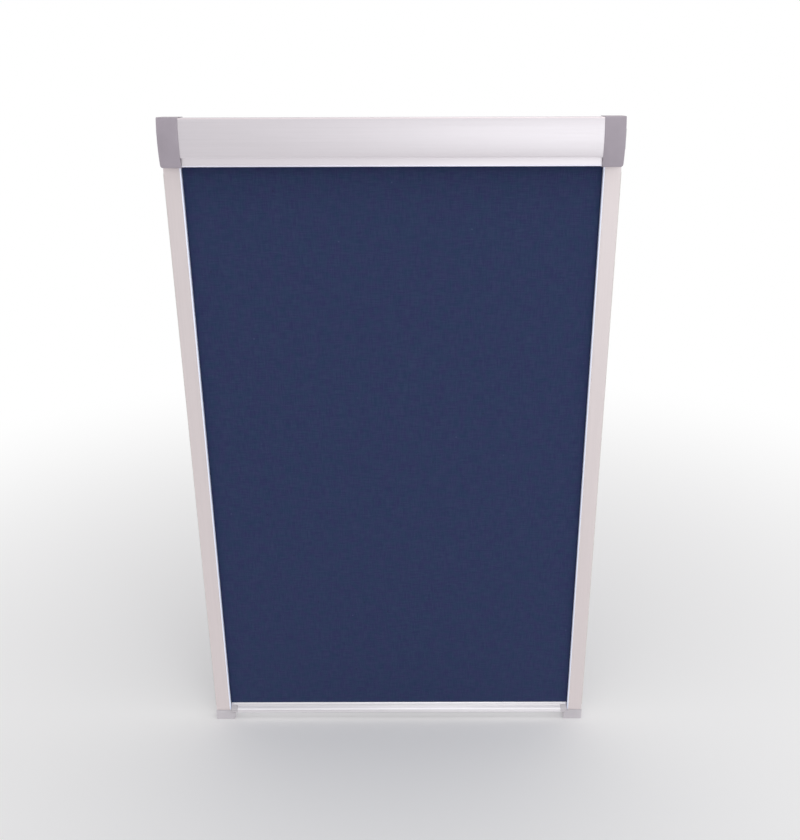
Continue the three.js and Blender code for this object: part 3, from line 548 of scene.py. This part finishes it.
# %% Model the glides
head_inner, head_top = HEAD_ROOM + FIT, BAR_TOP - 4.1
head = extrusion([
    (BAR_BACK, bar_bottom, 0.4), (BAR_BACK, head_top, 0.3), (BAR_FRONT, head_top, 0.6), *ledge,
], "side", head_inner, BAR_END)
soften(head, 0.5, lambda spot: spot.x < head_inner + 0.1, 3, 50)
arm = block((248.7, 272), (6.6, 14.5), (BAR_TOP - 12.2, BAR_TOP - 8.7))
neck = block((279, 292), (BAR_BACK, 7.7), (BAR_TOP - 9.1, head_top))
shoe = block((291, 303.3), (3.6, 13.1), (BAR_TOP - 8.7, BAR_TOP + 10.3))
soften(shoe, 0.8, lambda spot: True, 3, 50)
pad_room = block((293.5, 300.8), (10.1, 14), (BAR_TOP - 6.2, BAR_TOP + 7.8))
glide = join(cut(shoe, pad_room), neck, head, arm)
glides = finished_pair(glide, "glide", "bar", "bar_glide")

# %% [markdown]
# ## Cloth
# The hanging cloth is stretched flat by the bar's weight and held at its edges by the rails. It is a fine
# grid given its real 0.33 mm with a Solidify, so it has two faces and an edge. When the bar goes up, the
# real cloth winds onto the roller. Its weave reads object coordinates. The wraps left on the roller are an
# edge extruded round the axis, a hair further out each time, which makes a true spiral.


cloth_low, cloth_high = (corner.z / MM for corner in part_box("fabric_sheet"))
cloth_drop = cloth_high - cloth_low
cloth_back = CLOTH_THICK / 2 - CLOTH_DEPTH
cloth = bmesh.new()
bmesh.ops.create_grid(cloth, x_segments=29, y_segments=90, size=0.5)
bmesh.ops.scale(cloth, vec=(2 * CLOTH_HALF, cloth_drop, 1), verts=cloth.verts)
bmesh.ops.rotate(cloth, matrix=Matrix.Rotation(math.radians(90), 3, "X"), verts=cloth.verts)
bmesh.ops.translate(cloth, vec=(0, cloth_back, (cloth_low + cloth_high) / 2), verts=cloth.verts)
bmesh.ops.solidify(cloth, geom=cloth.faces[:], thickness=CLOTH_THICK)
too_far = max(vert.co.y for vert in cloth.verts) - cloth_back
bmesh.ops.translate(cloth, vec=(0, -too_far, 0), verts=cloth.verts)
bmesh.ops.recalc_face_normals(cloth, faces=cloth.faces)
cloth = finished(cloth, "cloth", "frame", "fabric_sheet")
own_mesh(cloth)

# %% Model the cloth that stays on the roller
WRAP_STEPS = 48
WRAP_RADII = (10.165, 10.495)  # of the two wraps, in the middle of the cloth
WRAP_THICK = 0.3
roll = bmesh.new()
axis_spot = Vector((0, -ROLLER_DEPTH, ROLLER_HEIGHT))
ends = [roll.verts.new((x, axis_spot.y + WRAP_RADII[0], axis_spot.z)) for x in (-CLOTH_HALF, CLOTH_HALF)]
edge = roll.edges.new(ends)
turn = Matrix.Rotation(-math.tau / WRAP_STEPS, 3, "X")
for step in range(2 * WRAP_STEPS):
    grown = bmesh.ops.extrude_edge_only(roll, edges=[edge])["geom"]
    edge = next(part for part in grown if isinstance(part, bmesh.types.BMEdge)
                and all(vert in grown for vert in part.verts))
    bmesh.ops.rotate(roll, cent=axis_spot, matrix=turn, verts=edge.verts)
    if step in (WRAP_STEPS - 1, WRAP_STEPS):
        step_out = math.sqrt(WRAP_RADII[1] / WRAP_RADII[0])
        bmesh.ops.scale(roll, vec=(1, step_out, step_out), space=Matrix.Translation(-axis_spot),
                        verts=edge.verts)
bmesh.ops.recalc_face_normals(roll, faces=roll.faces)
bmesh.ops.solidify(roll, geom=roll.faces[:], thickness=WRAP_THICK)
bmesh.ops.recalc_face_normals(roll, faces=roll.faces)
wraps = finished(roll, "cloth_wraps", "roller", "fabric_roll")

# %% [markdown]
# ## Springs
# A coil spring is a circle spun about an axis while it also moves along it, which is what the step vector of
# `spin` is for. The torsion spring lies round the fixed shaft, and the short one pushes the idler's pin out.


# %% Model the springs
def coil(x0, x1, radius, wire, curls):
    """A coil spring between two X, about the roller's axis."""
    bm = bmesh.new()
    turned = Matrix.Rotation(math.radians(90), 4, "X")
    start = Matrix.Translation((x0 + wire, axis_spot.y, axis_spot.z + radius)) @ turned
    bmesh.ops.create_circle(bm, cap_ends=True, segments=10, radius=wire, matrix=start)
    steps = 24 * curls
    rise = (x1 - x0 - 2 * wire) / steps
    bmesh.ops.spin(bm, geom=bm.verts[:] + bm.edges[:] + bm.faces[:], cent=axis_spot, axis=(1, 0, 0),
                   dvec=(rise, 0, 0), angle=math.tau * curls, steps=steps, use_duplicate=False)
    bmesh.ops.recalc_face_normals(bm, faces=bm.faces)
    return bm


def span(node):
    """The two X, in millimetres, between which a CAD node lies."""
    low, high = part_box(node)
    return low.x / MM, high.x / MM


winding_spring = finished(coil(*span("torsion_spring"), radius=5.2, wire=0.7, curls=24), "winding_spring",
                          "roller", "torsion_spring")
pin_from, pin_to = span("idler_pin_spring")
pin_spring = finished(coil(pin_from, pin_to, radius=3.9, wire=0.5, curls=7), "pin_spring", "roller",
                      "idler_pin_spring")
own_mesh(pin_spring)

# %% [markdown]
# ## Nodes for finishes
# A finish is a small tree of shader nodes. A few helpers keep the trees readable: one adds a node and sets or
# links its inputs, another starts a node group, and some name the nodes that are used most. A group holds an
# effect that several finishes share, and each finish places it with its own values.


# %% Add nodes and groups
def feed(tree, made, inputs):
    """Set a node's inputs. A value is a number, a colour, or another node's output socket."""
    for key, value in inputs.items():
        if isinstance(value, bpy.types.NodeSocket):
            tree.links.new(value, made.inputs[key])
        else:
            made.inputs[key].default_value = value


def node(tree, kind, inputs=None, **settings):
    """Add a shader node."""
    made = tree.nodes.new("ShaderNode" + kind)
    for name, value in settings.items():
        setattr(made, name, value)
    feed(tree, made, inputs or {})
    return made


def effect(name, outputs, **inputs):
    """Start a node group. Outputs are numbers. Inputs are too, except that None stands for a vector."""
    tree = bpy.data.node_groups.new(name, "ShaderNodeTree")
    for label, value in inputs.items():
        kind = "NodeSocketVector" if value is None else "NodeSocketFloat"
        socket = tree.interface.new_socket(label, in_out="INPUT", socket_type=kind)
        if value is not None:
            socket.default_value = value
    for label in outputs:
        tree.interface.new_socket(label, in_out="OUTPUT", socket_type="NodeSocketFloat")
    return tree, tree.nodes.new("NodeGroupInput").outputs, tree.nodes.new("NodeGroupOutput").inputs


def give(tree, gives, **values):
    """Link values to the outputs of an effect."""
    for label, value in values.items():
        tree.links.new(value, gives[label])


def place(tree, group, **inputs):
    """Place an effect in a finish. Returns its outputs."""
    made = tree.nodes.new("ShaderNodeGroup")
    made.node_tree = group
    feed(tree, made, inputs)
    return made.outputs


def math_node(tree, operation, first, second=0.0, third=0.0):
    inputs = {0: first, 1: second, 2: third}
    return node(tree, "Math", inputs, operation=operation).outputs[0]


def times(tree, first, second):
    return math_node(tree, "MULTIPLY", first, second)


def noise(tree, spot, scale, detail, roughness):
    inputs = {"Vector": spot, "Scale": scale, "Detail": detail, "Roughness": roughness}
    return node(tree, "TexNoise", inputs).outputs[0]


def range_of(tree, value, low, high, span_from=0.3, span_to=0.7):
    """Spread a value, such as a noise, which lies mostly between the two ends of a span, over a range."""
    return node(tree, "MapRange", {0: value, 1: span_from, 2: span_to, 3: low, 4: high}).outputs[0]


def blend_colour(tree, share, low, high):
    """Mix two colours. Returns the colour socket."""
    return node(tree, "Mix", {0: share, 6: low, 7: high}, data_type="RGBA").outputs[2]


def paint(red, green, blue):
    """A colour written in screen values from 0 to 255, as the linear colour that Blender uses."""
    steps = [value / 255 for value in (red, green, blue)]
    return (*[s / 12.92 if s <= 0.04045 else ((s + 0.055) / 1.055) ** 2.4 for s in steps], 1)


def shade(tone, factor):
    """A darker or lighter tone of a colour."""
    return (*[min(channel * factor, 1) for channel in tone[:3]], 1)


print("a mid grey of 128 is", round(paint(128, 128, 128)[0], 3), "in linear light")

# %% [markdown]
# ## Shared effects
# *Drawn* is the mark that an extrusion press leaves: hair-fine streaks along the profile, over faint clouds
# from anodising. *Grain* is the spark-eroded texture of a moulding. *Wear* finds the edges, by comparing the
# true normal with one that is rounded off, and breaks them up, since handling polishes an edge unevenly.
# *Weave* crosses two sets of threads, *Fibre* is short hair lying one way, *Dust* settles on what faces up.

# %% Build the shared effects
drawn, given, gives = effect("drawn", ["Streak", "Cloud", "Height"], Along=None, Place=None)
fine = noise(drawn, given["Along"], 2600, 4, 0.7)
broad = noise(drawn, given["Along"], 420, 2, 0.5)
cloud = noise(drawn, given["Place"], 14, 3, 0.55)
give(drawn, gives, Streak=math_node(drawn, "MULTIPLY_ADD", fine, 0.6, times(drawn, broad, 0.4)),
     Cloud=cloud, Height=fine)

grain, given, gives = effect("grain", ["Speck", "Height"], Place=None, Size=0.0006)
scale = math_node(grain, "DIVIDE", 1.0, given["Size"])
cells = node(grain, "TexVoronoi", {"Vector": given["Place"], "Scale": scale}, feature="SMOOTH_F1")
mist = noise(grain, given["Place"], scale, 3, 0.6)
give(grain, gives, Speck=mist, Height=math_node(grain, "MULTIPLY_ADD", cells.outputs["Distance"], 0.6, mist))

wear, given, gives = effect("wear", ["Mask"], Place=None, Reach=0.0006, Much=1)
rounded = node(wear, "Bevel", {"Radius": given["Reach"]}, samples=4).outputs[0]
true = node(wear, "NewGeometry").outputs["Normal"]
same = node(wear, "VectorMath", {0: rounded, 1: true}, operation="DOT_PRODUCT").outputs["Value"]
edge_share = range_of(wear, same, 0.0, 1.0, 0.995, 0.85)
broken = range_of(wear, noise(wear, given["Place"], 90, 4, 0.65), 0.25, 1.0, 0.35, 0.62)
give(wear, gives, Mask=times(wear, times(wear, edge_share, broken), given["Much"]))

weave, given, gives = effect("weave", ["Thread", "Slub", "Mottle", "Height"], Place=None, Pitch=0.0005)
parts = node(weave, "SeparateXYZ", {0: given["Place"]}).outputs
per_metre = math_node(weave, "DIVIDE", math.pi, given["Pitch"])
warp, weft = (math_node(weave, "SINE", times(weave, parts[axis], per_metre)) for axis in "XZ")
over = times(weave, warp, weft)
tall = node(weave, "Mapping", {"Vector": given["Place"], "Scale": (1, 1, 0.06)}).outputs[0]
wide = node(weave, "Mapping", {"Vector": given["Place"], "Scale": (0.06, 1, 1)}).outputs[0]
down, across = (noise(weave, stretched, 900, 2, 0.6) for stretched in (tall, wide))
slub = math_node(weave, "MULTIPLY_ADD", down, 0.5, times(weave, across, 0.5))
mottle = noise(weave, given["Place"], 95, 5, 0.62)
give(weave, gives, Thread=over, Slub=slub, Mottle=mottle,
     Height=math_node(weave, "MULTIPLY_ADD", slub, 1.5, over))

fibre, given, gives = effect("fibre", ["Tone", "Height"], Lie=None, Fine=3000)
hair = noise(fibre, given["Lie"], given["Fine"], 4, 0.75)
tuft = noise(fibre, given["Lie"], times(fibre, given["Fine"], 0.2), 2, 0.5)
give(fibre, gives, Tone=times(fibre, hair, tuft), Height=hair)

dust, given, gives = effect("dust", ["Mask"], Place=None, Much=0.2)
facing = node(dust, "SeparateXYZ", {0: node(dust, "NewGeometry").outputs["Normal"]}).outputs["Z"]
upward = range_of(dust, facing, 0.0, 1.0, 0.5, 1.0)
flecks = noise(dust, given["Place"], 260, 6, 0.7)
give(dust, gives, Mask=times(dust, upward, times(dust, flecks, given["Much"])))
print("effects:", [tree.name for tree in bpy.data.node_groups])

# %% [markdown]
# ## Aluminium
# Anodised aluminium is a metal under a thin clear oxide, so it reflects broadly and shows no sharp picture of
# anything. The streaks run along the profile: a Mapping node stretches the pattern along X for the cassette
# and the bar, and along Z for the rails. They change the roughness more than the colour. Some narrow strips
# along a profile, mostly on its edges, are painted light: a brighter colour that stands in for a highlight or
# for the light on a face, placed by comparing one coordinate with the strip's middle.

# %% Make the metal finishes
DUST_TONE = paint(214, 210, 204)


def start_finish(name, roughness, metallic=0.0, **constants):
    """Start a material. Returns it, its tree, its shader and the object's coordinates."""
    material = bpy.data.materials.new(name)
    material.use_nodes = True
    tree = material.node_tree
    shader = tree.nodes["Principled BSDF"]
    shader.inputs["Roughness"].default_value = roughness
    shader.inputs["Metallic"].default_value = metallic
    for label, value in constants.items():
        shader.inputs[label.replace("_", " ")].default_value = value
    return material, tree, shader, node(tree, "TexCoord").outputs["Object"]


def bump(tree, shader, height, distance, strength=1.0):
    bumped = node(tree, "Bump", {"Height": height, "Distance": distance, "Strength": strength})
    feed(tree, shader, {"Normal": bumped.outputs[0]})


def aluminium(name, tone, stretch, roughness=0.41, metallic=0.8, painted_light_strips=()):
    """Satin anodised aluminium, drawn along the axis that `stretch` makes small.

    A painted-light strip is brighter colour along the profile, a painted highlight: the axis across it, its
    middle and half width in millimetres, and its tone. A strip across X lies on both sides of the blind.
    """
    material, tree, shader, spot = start_finish(name, roughness, metallic)
    along = node(tree, "Mapping", {"Vector": spot, "Scale": stretch}).outputs[0]
    marks = place(tree, drawn, Along=along, Place=spot)
    worn = place(tree, wear, Place=spot, Reach=0.0005, Much=0.55)
    dusty = place(tree, dust, Place=spot, Much=0.25)
    streaks = range_of(tree, marks["Streak"], 0.0, 1.0)
    colour = blend_colour(tree, streaks, shade(tone, 0.93), shade(tone, 1.05))
    clouded = blend_colour(tree, range_of(tree, marks["Cloud"], 0.0, 0.35), colour, tone)
    bright = blend_colour(tree, worn["Mask"], clouded, paint(250, 249, 250))
    # Painted light: each strip's tone is mixed over the metal's colour.
    for axis, middle, half, painted_light_tone in painted_light_strips:
        across = node(tree, "SeparateXYZ", {0: spot}).outputs[axis]
        if axis == "X":
            across = math_node(tree, "ABSOLUTE", across)
        in_painted_light = math_node(tree, "COMPARE", across, middle * MM, half * MM)
        bright = blend_colour(tree, in_painted_light, bright, painted_light_tone)
    rough = range_of(tree, marks["Streak"], roughness - 0.07, roughness + 0.09)
    smoother = math_node(tree, "MULTIPLY_ADD", worn["Mask"], -0.12, rough)
    feed(tree, shader, {"Base Color": blend_colour(tree, dusty["Mask"], bright, DUST_TONE),
                        "Roughness": math_node(tree, "MULTIPLY_ADD", dusty["Mask"], 0.4, smoother)})
    bump(tree, shader, marks["Height"], 0.00002)
    return material


ALONG_X, ALONG_Z = (0.006, 1, 1), (1, 1, 0.006)
CASSETTE_TONE = paint(206, 200, 205)
cassette_metal = aluminium("cassette_aluminium", CASSETTE_TONE, ALONG_X)
# Painted light: the skirt is painted lighter than the face, as if it caught more light; the bead and the top
# edge get painted highlights; the seam over the skirt is painted lighter against the shade under the face.
fascia_metal = aluminium("fascia_aluminium", CASSETTE_TONE, ALONG_X, painted_light_strips=[
    ("Y", -28.6, 1.05, paint(212, 206, 211)),  # skirt
    ("Z", -29.8, 1.0, paint(224, 222, 236)),  # bead
    ("Z", 29.9, 0.8, paint(218, 208, 212)),  # top edge
    ("Z", -18.9, 0.45, paint(222, 216, 221)),  # seam over the skirt
])
# Painted highlight: the strip along the lip of the slot is painted bright and bluish.
rail_metal = aluminium("rail_aluminium", paint(216, 206, 207), ALONG_Z, 0.55, 0.6, painted_light_strips=[
    ("X", RAIL_INNER, 2, paint(236, 240, 255)),  # lip
])
# Painted highlights: bright strips on the chamfer at the top, on the slope of the ledge and on its crest.
bar_metal = aluminium("bar_aluminium", paint(219, 215, 219), ALONG_X, 0.42, 0.5, painted_light_strips=[
    ("Z", BAR_TOP - 0.6, 0.9, paint(252, 249, 253)),  # chamfer
    ("Z", BAR_TOP - 6.1, 0.8, paint(238, 234, 239)),  # slope of the ledge
    ("Z", BAR_TOP - 7.6, 0.7, paint(248, 245, 250)),  # crest of the ledge
])
tube_metal = aluminium("tube_aluminium", paint(205, 205, 207), ALONG_X, 0.35)


def plated(name, tone, warm, roughness):
    """Plated or oiled steel: crystalline patches, faint scratches and a few warm stains."""
    material, tree, shader, spot = start_finish(name, roughness, 1.0)
    speck = place(tree, grain, Place=spot, Size=0.0011)
    stain = noise(tree, spot, 160, 4, 0.6)
    worn = place(tree, wear, Place=spot, Reach=0.0004, Much=0.6)
    colour = blend_colour(tree, range_of(tree, speck["Speck"], 0.0, 1.0), shade(tone, 0.88), tone)
    stained = blend_colour(tree, range_of(tree, stain, 0.0, 0.7, 0.48, 0.72), colour, warm)
    feed(tree, shader, {"Base Color": blend_colour(tree, worn["Mask"], stained, paint(240, 240, 240)),
                        "Roughness": range_of(tree, speck["Speck"], roughness - 0.08, roughness + 0.12)})
    bump(tree, shader, speck["Height"], 0.00002)
    return material


zinc = plated("zinc_plate", paint(196, 198, 200), paint(190, 186, 168), 0.32)
spring_steel = plated("spring_steel_wire", paint(146, 147, 150), paint(120, 108, 92), 0.3)
print("metals:", cassette_metal.name, rail_metal.name, bar_metal.name, zinc.name, spring_steel.name)

# %% [markdown]
# ## Mouldings and cloth
# The end caps are a lilac grey with a fine grain. The cloth is a coated polyester: a plain weave of navy
# thread with a little purple and a little green in it, thicker threads here and there, and pinhead slubs.
# Its gloss is low, so it keeps its deep colour in bright light.


# %% Make the plastic and cloth finishes
def moulded(name, tone, roughness=0.5, size=0.0007, worn_tone=(214, 211, 216)):
    """Moulded plastic with a fine grain, a little uneven in colour, polished at its edges."""
    material, tree, shader, spot = start_finish(name, roughness)
    skin = place(tree, grain, Place=spot, Size=size)
    flow = noise(tree, spot, 38, 3, 0.5)
    worn = place(tree, wear, Place=spot, Reach=0.0006, Much=0.4)
    dusty = place(tree, dust, Place=spot, Much=0.2)
    dark = shade(tone, 0.94)
    colour = blend_colour(tree, range_of(tree, flow, 0.0, 1.0), dark, shade(tone, 1.06))
    specked = blend_colour(tree, range_of(tree, skin["Speck"], 0.0, 0.25), colour, dark)
    bright = blend_colour(tree, worn["Mask"], specked, paint(*worn_tone))
    rough = range_of(tree, skin["Speck"], roughness - 0.06, roughness + 0.08)
    feed(tree, shader, {"Base Color": blend_colour(tree, dusty["Mask"], bright, DUST_TONE),
                        "Roughness": math_node(tree, "MULTIPLY_ADD", worn["Mask"], -0.15, rough)})
    bump(tree, shader, skin["Height"], 0.00004)
    return material


cap_plastic = moulded("cap_plastic", paint(165, 155, 165))
foot_plastic = moulded("foot_plastic", paint(202, 196, 201))
white_plastic = moulded("white_moulding", paint(231, 229, 223), 0.42, 0.0009, (246, 245, 240))

cloth_finish, tree, shader, spot = start_finish("navy_weave", 0.82, Specular_IOR_Level=0.22)
woven = place(tree, weave, Place=spot, Pitch=0.00055)
greenish, purplish, thick, gap = paint(34, 54, 89), paint(43, 47, 91), paint(62, 72, 106), paint(14, 18, 36)
mixed = blend_colour(tree, range_of(tree, woven["Mottle"], 0.0, 1.0, 0.38, 0.62), greenish, purplish)
slubbed = blend_colour(tree, range_of(tree, woven["Slub"], 0.0, 0.55, 0.42, 0.6), mixed, thick)
colour = blend_colour(tree, range_of(tree, woven["Thread"], 0.28, 0.0, -1.0, 1.0), slubbed, gap)
pinheads = node(tree, "TexVoronoi", {"Vector": spot, "Scale": 55})
pin_near = range_of(tree, pinheads.outputs["Distance"], 1.0, 0.0, 0.03, 0.07)
pin_few = node(tree, "SeparateColor", {0: pinheads.outputs["Color"]}).outputs[0]
for picks, limit, share, tone in (("GREATER_THAN", 0.86, 0.4, paint(96, 104, 136)),
                                  ("LESS_THAN", 0.16, 0.5, paint(20, 22, 34))):
    pins = times(tree, pin_near, math_node(tree, picks, pin_few, limit))
    colour = blend_colour(tree, times(tree, pins, share), colour, tone)
feed(tree, shader, {"Base Color": colour, "Roughness": range_of(tree, woven["Slub"], 0.76, 0.9)})
bump(tree, shader, woven["Height"], 0.00005, 0.6)


def fibrous(name, tone, dark, lie, fineness, roughness=0.95):
    """Felt, pile or foam: short fibres that lie one way."""
    material, tree, shader, spot = start_finish(name, roughness, Specular_IOR_Level=0.15)
    stretched = node(tree, "Mapping", {"Vector": spot, "Scale": lie}).outputs[0]
    hairs = place(tree, fibre, Lie=stretched, Fine=fineness)
    share = range_of(tree, hairs["Tone"], 0.0, 1.0, 0.12, 0.4)
    feed(tree, shader, {"Base Color": blend_colour(tree, share, dark, tone)})
    bump(tree, shader, hairs["Height"], 0.00015)
    return material


felt = fibrous("dark_felt_pad", paint(62, 62, 66), paint(28, 28, 31), (1, 1, 0.5), 2600)
pile = fibrous("grey_pile_brush", paint(142, 144, 150), paint(84, 86, 92), (1, 0.08, 1), 3200)
foam = fibrous("foam_tape", paint(234, 232, 226), paint(206, 203, 196), (1, 1, 1), 2200)
print("finishes:", len([material for material in bpy.data.materials if material.use_nodes]))

# %% [markdown]
# ## Dressing the pieces
# Each new piece is given its finish directly. The solids that are right as they are stay as CAD nodes: their
# shape is never touched, and only the material in their slot changes.


# %% Give every piece its finish
def dress(objects, material):
    for obj in objects:
        obj.data.materials.clear()
        obj.data.materials.append(material)


dress([fascia], fascia_metal)
dress([back_profile], cassette_metal)
dress(rails, rail_metal)
dress([bottom_bar], bar_metal)
dress(caps, cap_plastic)
dress(feet + glides, foot_plastic)
dress(screws + brackets, zinc)
dress([winding_spring, pin_spring], spring_steel)
dress([cloth, wraps], cloth_finish)

WHITE_PIECES = ("spring_end_plug", "spring_drive_plug", "idler_plug", "idler_bush", "fabric_spline")
CARRIED = {
    "roller_tube": tube_metal, "spring_arbor": zinc, "idler_pin": zinc, "brush_strip": pile,
    "mounting_tape": foam, "brake_pad": felt, "brake_spring": spring_steel,
    **dict.fromkeys(WHITE_PIECES, white_plastic),
}
for name, material in CARRIED.items():
    family = (name, f"{name}_right", f"{name}_left")
    dress([solid for full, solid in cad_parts.items() if full in family], material)
print("carried over:", ", ".join(CARRIED))

# %% [markdown]
# ## Floor, light and world
# The blind stands on a pale floor. Broad lamps give soft, even light all round: a key from the front and
# right, a weaker one from each side and one from above. Far from the blind, the floor fades to white for the
# camera and for what metal reflects. The world is white for them too, and weaker where it lights the rest.

# %% Set the stage
FLOOR_GAP = 0.0002  # metres below the feet, so that no faces coincide
floor = bmesh.new()
bmesh.ops.create_grid(floor, x_segments=8, y_segments=8, size=9)
bmesh.ops.translate(floor, vec=(0, 0, BLIND_BOTTOM * MM - FLOOR_GAP), verts=floor.verts)
floor = as_object(floor, "floor")
pale = bpy.data.materials.new("pale_floor")
pale.use_nodes = True
tree = pale.node_tree
tree.nodes.clear()
ground = node(tree, "BsdfDiffuse", {"Color": paint(245, 244, 245)})
glow = node(tree, "Emission", {"Color": (1, 1, 1, 1), "Strength": 1.0})
flat = node(tree, "Mapping", {"Vector": node(tree, "TexCoord").outputs["Object"], "Scale": (1, 1, 0)})
away = node(tree, "VectorMath", {0: flat.outputs[0]}, operation="LENGTH").outputs["Value"]
ray = node(tree, "LightPath").outputs
fades = []
for kind, near, far in (("Is Camera Ray", 0.2, 2.0), ("Is Glossy Ray", 0.0, 0.3)):
    fade = node(tree, "MapRange", {0: away, 1: near, 2: far, 3: 0.0, 4: 1.0}, interpolation_type="SMOOTHSTEP")
    fades.append(times(tree, fade.outputs[0], ray[kind]))
surface = node(tree, "MixShader", {0: math_node(tree, "MAXIMUM", *fades), 1: ground.outputs[0],
                                   2: glow.outputs[0]})
tree.links.new(surface.outputs[0], node(tree, "OutputMaterial").inputs[0])
floor.data.materials.append(pale)


def lamp(name, spot, aim, size, power, tint=(1, 1, 1)):
    """A rectangular area lamp that looks at a point."""
    data = bpy.data.lights.new(name, "AREA")
    data.shape = "RECTANGLE"
    (data.size, data.size_y), data.energy, data.color = size, power, tint
    obj = bpy.data.objects.new(name, data)
    turn = (Vector(aim) - Vector(spot)).to_track_quat("-Z", "Y")
    obj.matrix_world = Matrix.Translation(spot) @ turn.to_matrix().to_4x4()
    bpy.context.scene.collection.objects.link(obj)


lamp("key", (1.05, -3.0, 0.4), (0.1, 0, -0.1), (2.35, 2.2), 20.8, (0.935, 1.0, 0.99))
lamp("side_right", (2.4, -0.9, -0.65), (0, 0, -0.75), (1.4, 1.4), 7, (0.92, 0.95, 1.0))
lamp("side_left", (-2.4, -0.9, -0.65), (0, 0, -0.75), (1.4, 1.4), 4.5, (0.94, 0.96, 1.0))
lamp("top", (0.35, -0.35, 1.7), (0.1, -0.25, -0.5), (1.6, 1.0), 10)

world = bpy.data.worlds.new("white_room")
bpy.context.scene.world = world
world.use_nodes = True
tree = world.node_tree
tree.nodes.clear()
ray = node(tree, "LightPath").outputs
seen = math_node(tree, "MAXIMUM", ray["Is Camera Ray"],
                 math_node(tree, "MAXIMUM", ray["Is Glossy Ray"], ray["Is Transmission Ray"]))
soft = node(tree, "Background", {"Color": (1, 1, 1, 1), "Strength": 0.64})
white = node(tree, "Background", {"Color": (1, 1, 1, 1), "Strength": 1.0})
sky = node(tree, "MixShader", {0: seen, 1: soft.outputs[0], 2: white.outputs[0]})
tree.links.new(sky.outputs[0], node(tree, "OutputWorld").inputs[0])
bpy.context.scene.view_settings.view_transform = "Standard"
